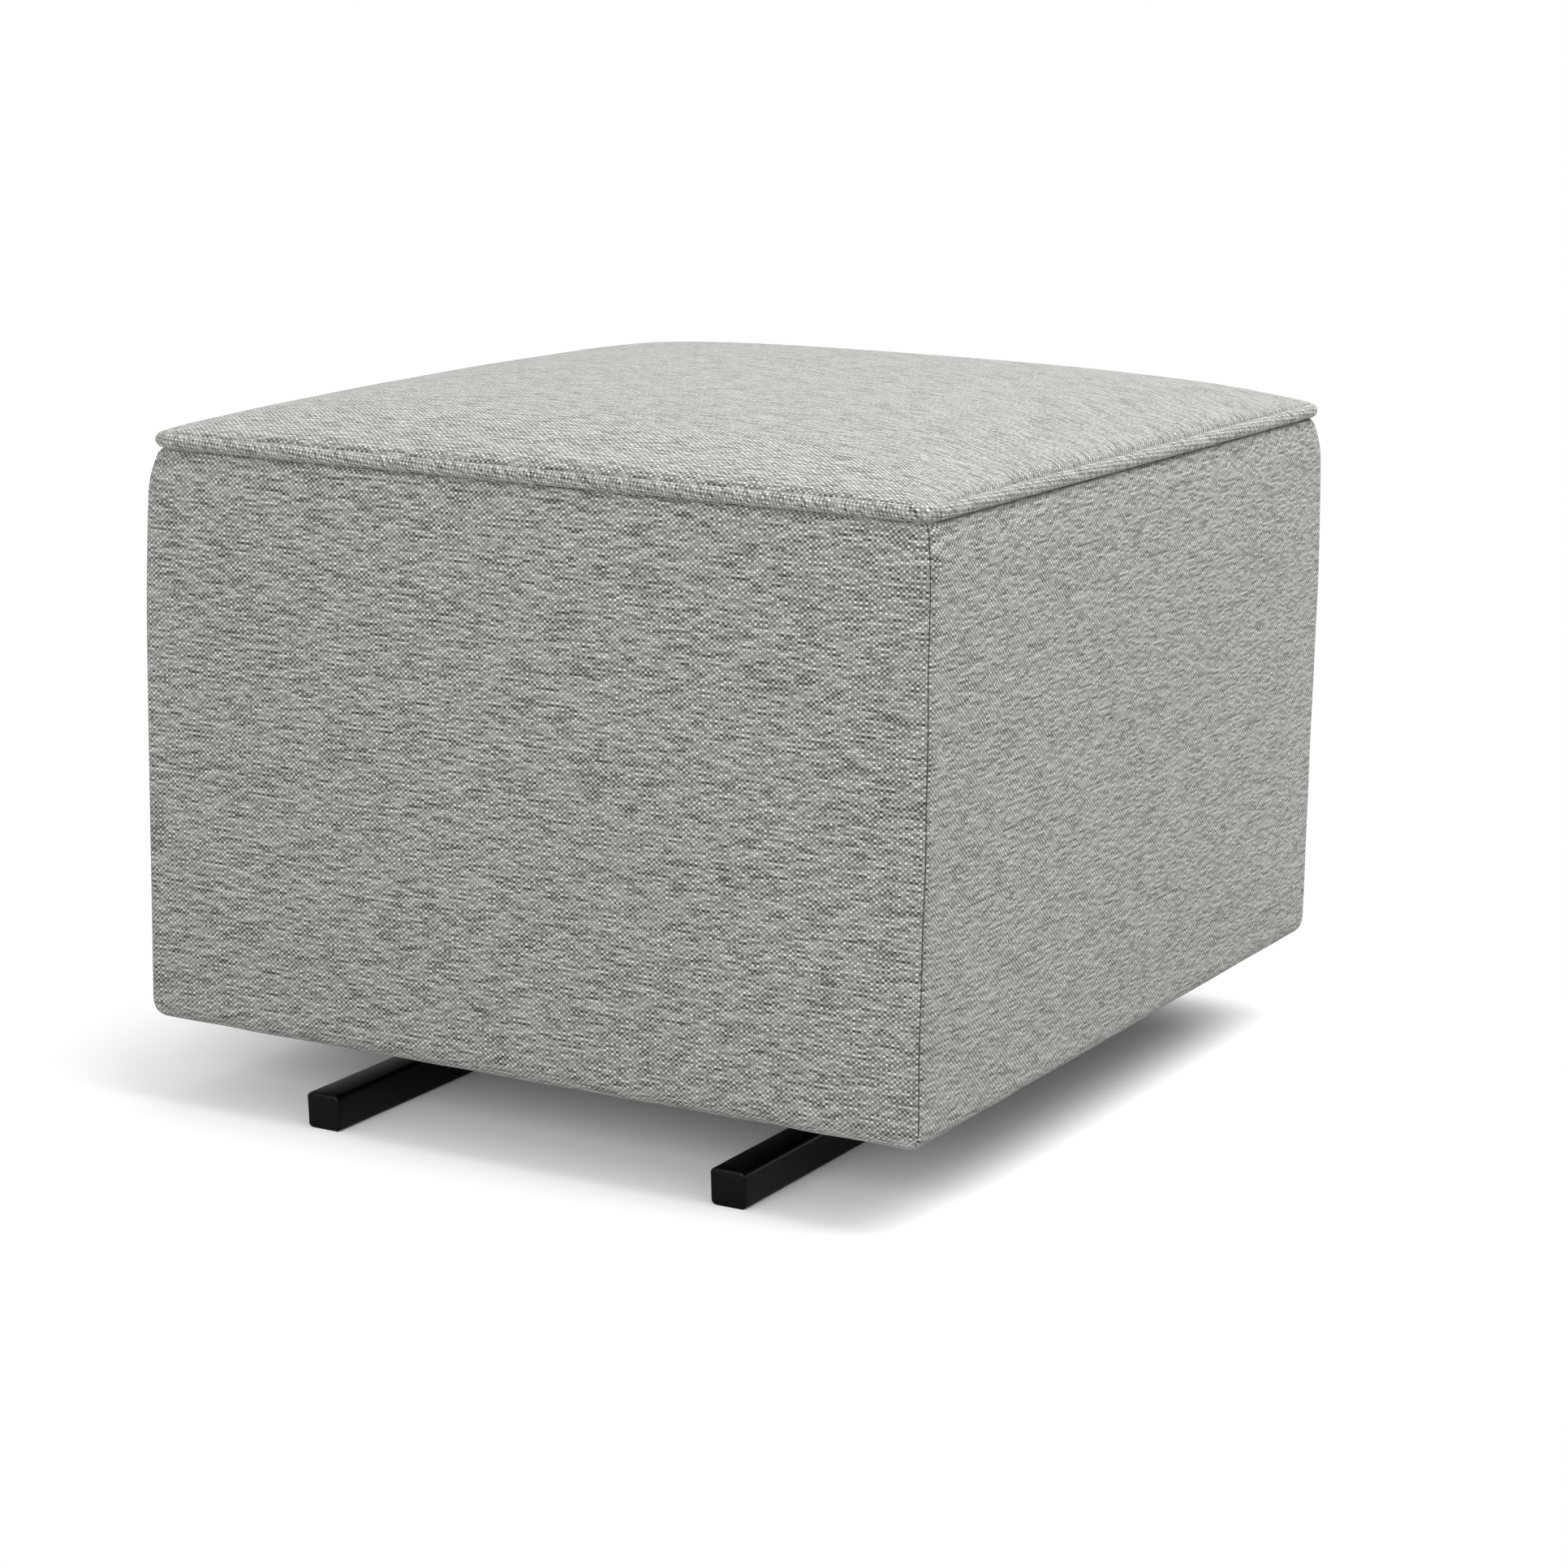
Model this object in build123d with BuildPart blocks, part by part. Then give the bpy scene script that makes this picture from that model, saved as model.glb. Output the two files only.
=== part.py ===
from build123d import *
import os
from math import cos, radians, sin

os.makedirs("parts", exist_ok=True)

# Glider ottoman: an upholstered box that hangs on four swing arms from a steel base with two floor rails.
# Sizes are in millimetres. X runs across the width, the front is -Y and Z is up.
# The origin is on the floor under the middle of the box, and the box glides along Y.

# ---------------------------------------------------------------- overall size
overall_width = 511.175  # 20 1/8 in, over the side walls
overall_depth = 558.8  # 22 in, over the front and rear walls
overall_height = 412.75  # 16 1/4 in, floor to the top of the crown

# ---------------------------------------------------------------- upholstery
floor_gap = 51.0  # floor to the underside of the fabric
seam_height = 392.0  # floor to the seam between the walls and the top panel
cover_thickness = 1.5  # woven fabric with its backing
padding_thickness = 6.5  # wadding between the boards and the fabric
top_tuck = 4.5  # the walls draw in this far at the top seam
tuck_height = 27.0  # and swell out again over this height
hem_radius = 12.0  # the walls turn under the box with this radius
hem_width = 10.0  # flat hem stapled under the boards
edge_radius = 5.0  # upright corner seams
seam_radius = 15.0  # corners of the top panel, seen from above
corner_blend = 120.0  # height over which the upright corners take up the seam radius
welt_diameter = 8.5  # fabric-covered cord round the top panel
welt_proud = 3.5  # the cord overhangs the tucked wall by this much
welt_sides = 16
crown_flatness = 0.8  # lower is flatter in the middle and steeper at the welt
crown_rounding = 0.7  # how soon the crown's contours lose their corners
crown_reach = 78.0  # degrees: where the smooth dome meets its flat middle
hem_steps = 3
tuck_steps = 3
crown_steps = 8
crown_corner_steps = 6
dust_cover_thickness = 1.0
dust_cover_inset = 14.0  # edge of the dust cover, in from the fabric walls
mitre_reach = 60.0  # how far a corner mitre cuts in from the walls

# ---------------------------------------------------------------- wooden box
board_thickness = 15.0
board_bottom = 54.0  # floor to the underside of the boards
deck_thickness = 12.0
deck_top = 335.0  # floor to the seat board's upper face
corner_block_leg = 45.0
cleat_size = 30.0  # hardwood cleats that the mechanism is screwed to

# ---------------------------------------------------------------- floor base
rail_inset = 120.1  # from the side walls in to the middle of a floor rail
rail_size = 22.0
rail_setback = 5.0  # rail ends, in from the front and rear walls
rail_rake = 2.0  # the ends lean: the top edge stands this far past the bottom edge
rail_corner = 3.0
rail_cap_thickness = 3.0
rail_cap_edge = 1.2
tube_wall = 2.0
post_size = 20.0
post_corner = 2.0
upper_rail_overhang = 8.0  # past the posts, front and rear
cross_tube_inset = 20.0  # floor cross tubes, in from the posts

# ---------------------------------------------------------------- glide mechanism
pivot_inset = 179.4  # from the front and rear walls in to the arm pivots
lower_pivot_height = 72.0
arm_length = 165.0  # from pivot to pivot
swing_limit = 16.0  # degrees each way
arm_thickness = 6.0
arm_waist = 18.0
arm_end_radius = 14.0
arm_fillet = 10.0
arm_boss_radius = 10.0  # tube on the arm's upper end, which keeps it off the rail
arm_play = 0.2  # left on each side of an arm
shoulder_radius = 6.0  # the pivot bolts' smooth shoulders, which the arms turn on
running_gap = 0.05  # radial, between arm and shoulder
seat_gap = 0.02  # radial, between pieces that sit tight on each other
thread_radius = 4.0
thread_engagement = 12.0  # upper bolts into the upper rails
bolt_head_flats = 16.0
bolt_head_height = 6.0
bolt_end = 2.0  # thread showing past a nut
nut_flats = 13.0
nut_height = 8.0
head_clearance = 2.0  # lower bolt heads to the posts that they swing past
bar_thickness = 3.0  # pressed angle bars of the carrier
bar_height = 30.0
carrier_flange = 22.0
crossbar_flange = 30.0
bar_bend = 1.5  # inside radius of the bars' bend
crossbar_end_gap = 2.5  # crossbar ends to the side boards
buffer_radius = 8.0
buffer_length = 16.0
buffer_chamfer = 2.0
buffer_gap = 0.5  # left between buffer and crossbar at the end of the swing
slot_clearance = 8.5  # dust cover to the posts

# ---------------------------------------------------------------- mounting screws
screw_radius = 3.0
screw_head_flats = 10.0
screw_head_height = 4.0
screw_length = 28.0

# ---------------------------------------------------------------- worked out from the sizes above
half_width = overall_width / 2
half_depth = overall_depth / 2
welt_radius = welt_diameter / 2
board_inset = cover_thickness + padding_thickness
box_half_width = half_width - board_inset
box_half_depth = half_depth - board_inset
inner_half_width = box_half_width - board_thickness
inner_half_depth = box_half_depth - board_thickness
deck_bottom = deck_top - deck_thickness
padding_bottom = floor_gap + hem_radius
padding_top = seam_height - tuck_height
welt_inset = top_tuck - welt_proud + welt_radius
crown_inset = welt_inset + welt_radius
corner_centre_inset = top_tuck + seam_radius

rail_centre = half_width - rail_inset
pivot_y = half_depth - pivot_inset
upper_pivot_height = lower_pivot_height + arm_length
travel = arm_length * sin(radians(swing_limit))
upper_rail_bottom = upper_pivot_height - post_size / 2
upper_rail_length = 2 * (pivot_y + post_size / 2 + upper_rail_overhang)
post_inner = rail_centre - post_size / 2
post_outer = rail_centre + post_size / 2
arm_start = post_outer + head_clearance + bolt_head_height + arm_play
arm_stop = arm_start + arm_thickness
carrier_face = arm_stop + arm_play
carrier_back = carrier_face + bar_thickness
bar_bottom = lower_pivot_height - bar_height / 2
bar_top = bar_bottom + bar_height
crossbar_face = pivot_y + post_size / 2 + buffer_length + buffer_gap + travel
crossbar_half_length = inner_half_width - crossbar_end_gap
mount_x = inner_half_width - cleat_size / 2
mount_y = crossbar_face + (bar_thickness + crossbar_flange) / 2
cleat_bottom = bar_top
cleat_top = cleat_bottom + cleat_size

corners = {
    "front_left": (-1, -1),
    "front_right": (1, -1),
    "rear_left": (-1, 1),
    "rear_right": (1, 1),
}
sides = {"left": -1, "right": 1}
ends = {"front": -1, "rear": 1}


def save(piece, label):
    """Names a finished piece and writes it to its own file."""
    piece.part.label = label
    export_step(piece.part, f"parts/{label}.step")


# ================================================================ floor base


def foot_of(top_y):
    """Where a leaning rail end that starts at top_y on the rail's top meets the floor."""
    return top_y + rail_rake if top_y < 0 else top_y - rail_rake


def raked_bar(side, front, rear):
    """A solid length of floor rail between two places along Y, its ends leaning as the rail's do."""
    with BuildPart() as bar:
        with BuildSketch(Plane.YZ.offset(side * rail_centre)):
            Polygon(
                (foot_of(front), 0),
                (foot_of(rear), 0),
                (rear, rail_size),
                (front, rail_size),
                align=None,
            )
        extrude(amount=rail_size / 2, both=True)
        fillet(bar.edges().filter_by(Axis.Y), rail_corner)
    return bar.part


def tube_section(size, corner):
    """Outline of a square tube with its bore, drawn in the sketch that is open."""
    RectangleRounded(size, size, corner)
    Rectangle(size - 2 * tube_wall, size - 2 * tube_wall, mode=Mode.SUBTRACT)


rail_end = half_depth - rail_setback
cap_seat = rail_end - rail_cap_thickness

for side_name, side in sides.items():
    with BuildPart() as rail:
        add(raked_bar(side, -cap_seat, cap_seat))
        with BuildSketch(Plane.XZ) as bore:
            with Locations((side * rail_centre, rail_size / 2)):
                Rectangle(rail_size - 2 * tube_wall, rail_size - 2 * tube_wall)
        extrude(amount=half_depth, both=True, mode=Mode.SUBTRACT)
    save(rail, f"floor_rail_{side_name}")

with BuildPart() as rail_end_caps:
    for side in sides.values():
        for end in ends.values():
            cap = raked_bar(side, *sorted((end * cap_seat, end * rail_end)))
            outer_face = cap.faces().sort_by(Axis.Y)[-1 if end > 0 else 0]
            add(cap.chamfer(rail_cap_edge, None, outer_face.edges()))
save(rail_end_caps, "rail_end_caps")

for end_name, end in ends.items():
    with BuildPart() as cross_tube:
        with BuildSketch(Plane.YZ):
            with Locations((end * (pivot_y - cross_tube_inset), rail_size / 2)):
                tube_section(post_size, post_corner)
        extrude(amount=rail_centre - rail_size / 2, both=True)
    save(cross_tube, f"floor_cross_tube_{end_name}")

for corner_name, (side, end) in corners.items():
    with BuildPart() as post:
        with BuildSketch(Plane.XY.offset(rail_size)):
            with Locations((side * rail_centre, end * pivot_y)):
                tube_section(post_size, post_corner)
        extrude(amount=upper_rail_bottom - rail_size)
    save(post, f"post_{corner_name}")

for side_name, side in sides.items():
    with BuildPart() as upper_rail:
        with BuildSketch(Plane.XZ):
            with Locations((side * rail_centre, upper_pivot_height)):
                tube_section(post_size, post_corner)
        extrude(amount=upper_rail_length / 2, both=True)
        with BuildSketch(Plane.YZ.offset(side * rail_centre)):
            with Locations((-pivot_y, upper_pivot_height), (pivot_y, upper_pivot_height)):
                Circle(thread_radius + seat_gap)
        extrude(amount=side * post_size, mode=Mode.SUBTRACT)
    save(upper_rail, f"upper_rail_{side_name}")

with BuildPart() as upper_cross_tube:
    with BuildSketch(Plane.YZ):
        with Locations((0, upper_pivot_height)):
            tube_section(post_size, post_corner)
    extrude(amount=post_inner, both=True)
save(upper_cross_tube, "upper_cross_tube")

with BuildPart() as stop_buffers:
    for side, end in corners.values():
        buffer_seat = Plane(
            origin=(side * rail_centre, end * (pivot_y + post_size / 2), lower_pivot_height),
            z_dir=(0, end, 0),
        )
        with BuildSketch(buffer_seat):
            Circle(buffer_radius)
        extrude(amount=buffer_length)
    tips = stop_buffers.faces().filter_by(Axis.Y).sort_by(lambda face: abs(face.center().Y))[-4:]
    chamfer(tips.edges(), buffer_chamfer)
save(stop_buffers, "stop_buffers")

# ================================================================ glide mechanism


def outboard(side, end, distance, height):
    """A plane square to the arm pivots, facing away from the middle of the base, with its own Y upward."""
    return Plane(
        origin=(side * distance, end * pivot_y, height),
        x_dir=(0, side, 0),
        z_dir=(side, 0, 0),
    )


def shoulder_bolts(head_seat, direction, shoulder_length, thread_length, height):
    """Four pivot bolts: heads on head_seat, shoulders and threads pointing outboard (1) or inboard (-1)."""
    with BuildPart() as group:
        for side, end in corners.values():
            seat = outboard(side, end, head_seat, height)
            with BuildSketch(seat):
                RegularPolygon(bolt_head_flats / 2, 6, major_radius=False)
            extrude(amount=-direction * bolt_head_height)
            with BuildSketch(seat):
                Circle(shoulder_radius)
            extrude(amount=direction * shoulder_length)
            with BuildSketch(seat):
                Circle(thread_radius)
            extrude(amount=direction * (shoulder_length + thread_length))
    return group


upper_bolts = shoulder_bolts(
    head_seat=arm_stop + arm_play,
    direction=-1,
    shoulder_length=arm_stop + arm_play - post_outer,
    thread_length=thread_engagement,
    height=upper_pivot_height,
)
save(upper_bolts, "upper_pivot_bolts")

lower_bolts = shoulder_bolts(
    head_seat=arm_start - arm_play,
    direction=1,
    shoulder_length=carrier_face - arm_start + arm_play,
    thread_length=bar_thickness + nut_height + bolt_end,
    height=lower_pivot_height,
)
save(lower_bolts, "lower_pivot_bolts")

with BuildPart() as lower_pivot_nuts:
    for side, end in corners.values():
        with BuildSketch(outboard(side, end, carrier_back, lower_pivot_height)):
            RegularPolygon(nut_flats / 2, 6, major_radius=False)
            Circle(thread_radius + seat_gap, mode=Mode.SUBTRACT)
        extrude(amount=nut_height)
save(lower_pivot_nuts, "lower_pivot_nuts")

boss_start = post_outer + arm_play

for corner_name, (side, end) in corners.items():
    with BuildPart() as swing_arm:
        with BuildSketch(outboard(side, end, arm_start, lower_pivot_height)) as blade:
            with Locations((0, arm_length / 2)):
                Rectangle(arm_waist, arm_length)
            with Locations((0, 0), (0, arm_length)):
                Circle(arm_end_radius)
            fillet(blade.vertices(), arm_fillet)
        extrude(amount=arm_thickness)
        with BuildSketch(outboard(side, end, boss_start, upper_pivot_height)):
            Circle(arm_boss_radius)
        extrude(amount=arm_start - boss_start)
        with BuildSketch(outboard(side, end, boss_start, lower_pivot_height)):
            with Locations((0, 0), (0, arm_length)):
                Circle(shoulder_radius + running_gap)
        extrude(amount=arm_stop - boss_start, mode=Mode.SUBTRACT)
    save(swing_arm, f"swing_arm_{corner_name}")


def angle_section(face, flange, direction):
    """A bent angle bar in the open sketch: its leg stands on face and its flange points away at the top."""
    back = face + bar_thickness
    with BuildSketch(mode=Mode.PRIVATE) as angle:
        with BuildLine():
            Polyline(
                (face, bar_bottom),
                (face, bar_top),
                (back + flange, bar_top),
                (back + flange, bar_top - bar_thickness),
                (back, bar_top - bar_thickness),
                (back, bar_bottom),
                close=True,
            )
        make_face()
        fillet(angle.vertices().sort_by_distance((face, bar_top))[:1], bar_bend + bar_thickness)
        fillet(angle.vertices().sort_by_distance((back, bar_top - bar_thickness))[:1], bar_bend)
    add(angle.sketch if direction > 0 else mirror(angle.sketch, Plane.YZ, mode=Mode.PRIVATE))


for side_name, side in sides.items():
    with BuildPart() as carrier:
        with BuildSketch(Plane.XZ):
            angle_section(carrier_face, carrier_flange, side)
        extrude(amount=crossbar_face, both=True)
        with BuildSketch(Plane.YZ):
            with Locations((-pivot_y, lower_pivot_height), (pivot_y, lower_pivot_height)):
                Circle(thread_radius + seat_gap)
        extrude(amount=side * half_width, mode=Mode.SUBTRACT)
    save(carrier, f"carrier_bar_{side_name}")

for end_name, end in ends.items():
    with BuildPart() as crossbar:
        with BuildSketch(Plane.YZ):
            angle_section(crossbar_face, crossbar_flange, end)
        extrude(amount=crossbar_half_length, both=True)
        with BuildSketch(Plane.XY.offset(bar_top)):
            with Locations((-mount_x, end * mount_y), (mount_x, end * mount_y)):
                Circle(screw_radius + seat_gap)
        extrude(amount=-bar_thickness, mode=Mode.SUBTRACT)
    save(crossbar, f"crossbar_{end_name}")

# ================================================================ screws between mechanism and box

screw_places = GridLocations(2 * mount_x, 2 * mount_y, 2, 2).local_locations
screw_seat = bar_top - bar_thickness

with BuildPart() as mounting_screws:
    with BuildSketch(Plane.XY.offset(screw_seat)):
        with Locations(*screw_places):
            RegularPolygon(screw_head_flats / 2, 6, major_radius=False)
    extrude(amount=-screw_head_height)
    with BuildSketch(Plane.XY.offset(screw_seat)):
        with Locations(*screw_places):
            Circle(screw_radius)
    extrude(amount=screw_length)
save(mounting_screws, "mounting_screws")

# ================================================================ wooden box

for side_name, side in sides.items():
    with BuildPart() as side_board:
        with BuildSketch(Plane.XY.offset(board_bottom)):
            with Locations((side * (inner_half_width + board_thickness / 2), 0)):
                Rectangle(board_thickness, 2 * box_half_depth)
        extrude(amount=deck_bottom - board_bottom)
    save(side_board, f"side_board_{side_name}")

for end_name, end in ends.items():
    with BuildPart() as end_board:
        with BuildSketch(Plane.XY.offset(board_bottom)):
            with Locations((0, end * (inner_half_depth + board_thickness / 2))):
                Rectangle(2 * inner_half_width, board_thickness)
        extrude(amount=deck_bottom - board_bottom)
    save(end_board, f"{end_name}_board")

with BuildPart() as corner_blocks:
    for side, end in corners.values():
        with BuildSketch(Plane.XY.offset(cleat_top)):
            Polygon(
                (side * inner_half_width, end * inner_half_depth),
                (side * (inner_half_width - corner_block_leg), end * inner_half_depth),
                (side * inner_half_width, end * (inner_half_depth - corner_block_leg)),
                align=None,
            )
        extrude(amount=deck_bottom - cleat_top)
save(corner_blocks, "corner_blocks")

for side_name, side in sides.items():
    with BuildPart() as cleat:
        with BuildSketch(Plane.XY.offset(cleat_bottom)):
            with Locations((side * mount_x, 0)):
                Rectangle(cleat_size, 2 * inner_half_depth)
        extrude(amount=cleat_size)
        with BuildSketch(Plane.XY.offset(screw_seat)):
            with Locations((side * mount_x, -mount_y), (side * mount_x, mount_y)):
                Circle(screw_radius + seat_gap)
        extrude(amount=screw_length, mode=Mode.SUBTRACT)
    save(cleat, f"mounting_cleat_{side_name}")

with BuildPart() as deck_board:
    with BuildSketch(Plane.XY.offset(deck_bottom)):
        Rectangle(2 * box_half_width, 2 * box_half_depth)
    extrude(amount=deck_thickness)
save(deck_board, "deck_board")

# ================================================================ upholstery
# The walls are lofted through rounded rectangles, and the crown is the convex hull of its contours.


def wall_section(height, inset):
    """One contour of the walls: its height, width, depth and corner radius."""
    blend = max(0.0, 1 - (seam_height - height) / corner_blend)
    radius = edge_radius + (seam_radius - edge_radius) * blend**2
    return height, overall_width - 2 * inset, overall_depth - 2 * inset, radius


def wall_sections():
    """Contours of the walls, hem to seam: a turned-under arc, a straight run and a drawn-in top."""
    sections = []
    for step in range(hem_steps + 1):
        angle = radians(90 * (1 - step / hem_steps))
        height = floor_gap + hem_radius * (1 - sin(angle))
        sections.append(wall_section(height, hem_radius * (1 - cos(angle))))
    sections.append(wall_section(seam_height - corner_blend, 0))
    sections.append(wall_section(seam_height - corner_blend / 2, 0))
    for step in range(tuck_steps + 1):
        share = step / tuck_steps
        height = seam_height - tuck_height * (1 - share)
        sections.append(wall_section(height, top_tuck * share**2))
    return sections


with BuildPart() as upholstered_walls:
    for height, width, depth, radius in wall_sections():
        with BuildSketch(Plane.XY.offset(height)):
            RectangleRounded(width, depth, radius)
    loft(ruled=True)

hem_inset = hem_radius + hem_width


def mitred_wall(direction, sign):
    """Plan of one wall's share of the upholstery, cut at 45 degrees through the corner seams."""
    across = half_width if direction == "end" else half_depth
    out = half_depth if direction == "end" else half_width
    corners_of_wall = [
        (-across, sign * out),
        (across, sign * out),
        (across - mitre_reach, sign * (out - mitre_reach)),
        (mitre_reach - across, sign * (out - mitre_reach)),
    ]
    if direction == "end":
        return corners_of_wall
    return [(y, x) for x, y in corners_of_wall]


walls = {
    "front": ("end", -1),
    "rear": ("end", 1),
    "left": ("side", -1),
    "right": ("side", 1),
}

for wall_name, (direction, sign) in walls.items():
    with BuildPart() as cover:
        add(upholstered_walls.part)
        with BuildSketch(Plane.XY.offset(board_bottom)):
            Rectangle(2 * box_half_width, 2 * box_half_depth)
        extrude(amount=seam_height - board_bottom, mode=Mode.SUBTRACT)
        with BuildSketch(Plane.XY.offset(padding_bottom)):
            Rectangle(2 * box_half_width, overall_depth - 2 * cover_thickness)
            Rectangle(overall_width - 2 * cover_thickness, 2 * box_half_depth)
        extrude(amount=padding_top - padding_bottom, mode=Mode.SUBTRACT)
        with BuildSketch(Plane.XY.offset(floor_gap)):
            Rectangle(overall_width - 2 * hem_inset, overall_depth - 2 * hem_inset)
        extrude(amount=board_bottom - floor_gap, mode=Mode.SUBTRACT)
        with BuildSketch(Plane.XY):
            Polygon(*mitred_wall(direction, sign), align=None)
        extrude(amount=overall_height, mode=Mode.INTERSECT)
    save(cover, f"cover_{wall_name}")

padding_offset_x = box_half_width + padding_thickness / 2
padding_offset_y = box_half_depth + padding_thickness / 2
padding_plans = {
    "front": (0, -padding_offset_y, 2 * box_half_width, padding_thickness),
    "rear": (0, padding_offset_y, 2 * box_half_width, padding_thickness),
    "left": (-padding_offset_x, 0, padding_thickness, 2 * box_half_depth),
    "right": (padding_offset_x, 0, padding_thickness, 2 * box_half_depth),
}

for wall_name, (x, y, width, depth) in padding_plans.items():
    with BuildPart() as padding:
        with BuildSketch(Plane.XY.offset(padding_bottom)):
            with Locations((x, y)):
                Rectangle(width, depth)
        extrude(amount=padding_top - padding_bottom)
    save(padding, f"padding_{wall_name}")

with BuildPart() as foam_pad:
    with BuildSketch(Plane.XY.offset(deck_top)):
        Rectangle(2 * box_half_width, 2 * box_half_depth)
    extrude(amount=seam_height - deck_top)
save(foam_pad, "foam_pad")



def contour(width, depth, radius, height):
    """Points on the corner arcs of a rounded rectangle at one height."""
    points = []
    for side, end in corners.values():
        for step in range(crown_corner_steps + 1):
            turn = radians(90 * step / crown_corner_steps)
            x = side * (width / 2 - radius * (1 - cos(turn)))
            y = end * (depth / 2 - radius * (1 - sin(turn)))
            points.append((x, y, height))
    return points


def crown_points():
    """Contours of the crown: upright beside the cord, then a dome that grows rounder as it shrinks."""
    base_width = overall_width - 2 * crown_inset
    base_depth = overall_depth - 2 * crown_inset
    base_radius = corner_centre_inset - crown_inset
    spring = seam_height + welt_radius
    rise = overall_height - spring
    points = contour(base_width, base_depth, base_radius, seam_height)
    for step in range(crown_steps + 1):
        angle = radians(crown_reach * step / crown_steps)
        share = cos(angle) ** crown_flatness
        height = spring + rise * sin(angle) / sin(radians(crown_reach))
        slack = base_width / 2 * share - base_radius
        radius = base_radius + slack * crown_rounding * (1 - share)
        points += contour(base_width * share, base_depth * share, radius, height)
    return points


with BuildPart() as cover_top:
    ConvexPolyhedron(crown_points())
save(cover_top, "cover_top")

welt_x = half_width - welt_inset
welt_y = half_depth - welt_inset

with BuildPart() as welt_cord:
    with BuildLine(Plane.XY.offset(seam_height + welt_radius)) as welt_path:
        FilletPolyline(
            (-welt_x, -welt_y),
            (welt_x, -welt_y),
            (welt_x, welt_y),
            (-welt_x, welt_y),
            radius=corner_centre_inset - welt_inset,
            close=True,
        )
    with BuildSketch(Plane(origin=welt_path.wire() @ 0, z_dir=welt_path.wire() % 0)):
        RegularPolygon(welt_radius, welt_sides)
    sweep(path=welt_path.wire())
save(welt_cord, "welt_cord")

# The dust cover is three panels, because two slots leave room for the posts to pass as the box glides.
slot_inner = post_inner - slot_clearance
slot_outer = post_outer + slot_clearance
dust_edge = half_width - dust_cover_inset
dust_panels = {
    "left": (-dust_edge, -slot_outer),
    "centre": (-slot_inner, slot_inner),
    "right": (slot_outer, dust_edge),
}

for panel_name, (low, high) in dust_panels.items():
    with BuildPart() as dust_cover:
        with BuildSketch(Plane.XY.offset(floor_gap)):
            with Locations(((low + high) / 2, 0)):
                Rectangle(high - low, overall_depth - 2 * dust_cover_inset)
        extrude(amount=-dust_cover_thickness)
    save(dust_cover, f"dust_cover_{panel_name}")
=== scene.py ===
"""Dresses the glider ottoman: upholstery, rails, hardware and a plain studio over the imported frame.

Everything is in metres in the frame's own axes: X across the width, the front at -Y, Z up, the floor
at Z 0 under the middle of the box at rest.
"""

import logging
import math
from dataclasses import dataclass, field
from enum import Enum
from typing import Iterable, Mapping, Sequence

import bmesh
import bpy
import numpy as np
from mathutils import Matrix, Vector


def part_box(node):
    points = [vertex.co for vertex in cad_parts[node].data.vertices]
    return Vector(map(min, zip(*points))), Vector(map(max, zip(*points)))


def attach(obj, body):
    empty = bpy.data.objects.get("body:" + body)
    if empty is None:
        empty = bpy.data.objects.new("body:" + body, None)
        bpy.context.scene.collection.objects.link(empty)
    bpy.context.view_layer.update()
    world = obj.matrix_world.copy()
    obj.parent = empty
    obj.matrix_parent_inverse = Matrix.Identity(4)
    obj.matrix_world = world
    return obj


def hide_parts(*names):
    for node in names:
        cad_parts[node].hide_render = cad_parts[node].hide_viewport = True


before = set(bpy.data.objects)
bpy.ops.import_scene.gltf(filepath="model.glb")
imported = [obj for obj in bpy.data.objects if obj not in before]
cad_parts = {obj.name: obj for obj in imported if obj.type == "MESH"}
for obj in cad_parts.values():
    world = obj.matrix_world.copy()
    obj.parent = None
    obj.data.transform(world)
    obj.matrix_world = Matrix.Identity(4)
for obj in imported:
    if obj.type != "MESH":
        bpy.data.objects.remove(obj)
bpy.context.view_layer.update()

MM = 0.001
CLOTH_MAP = "cloth"
LOG = logging.getLogger("glider_ottoman")


class BoxSide(Enum):
    """A wall of the upholstered box, as the number of quarter turns from the front wall."""

    FRONT = 0
    RIGHT = 1
    REAR = 2
    LEFT = 3


class Grain(Enum):
    """The axis of a wooden piece, as its index in X, Y, Z."""

    ALONG_X = 0
    ALONG_Y = 1
    ALONG_Z = 2


# --------------------------------------------------------------------------------------- mesh building


@dataclass
class Patch:
    """A grid of points and the cloth coordinates of its corners.

    Attributes:
        points: rows x columns x 3, in metres.
        cloth: one more row or column than points where that way is closed, x 2, in metres.
        closed_rows: True where the last row joins the first.
        closed_columns: True where the last column joins the first.
    """

    points: np.ndarray
    cloth: np.ndarray | None = None
    closed_rows: bool = False
    closed_columns: bool = False

    def quads(self) -> tuple[np.ndarray, np.ndarray]:
        """Numbers the four corners of every cell.

        Returns:
            The cells' point numbers, and the same corners' cloth coordinates.
        """
        rows, columns = self.points.shape[:2]
        row, column = np.meshgrid(
            np.arange(rows if self.closed_rows else rows - 1),
            np.arange(columns if self.closed_columns else columns - 1),
            indexing="ij",
        )
        row = np.stack([row, row + 1, row + 1, row], -1).reshape(-1, 4)
        column = np.stack([column, column, column + 1, column + 1], -1).reshape(-1, 4)
        corners = (row % rows) * columns + column % columns
        if self.cloth is None:
            return corners, np.zeros(corners.shape + (2,))
        return corners, self.cloth[row, column]


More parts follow.
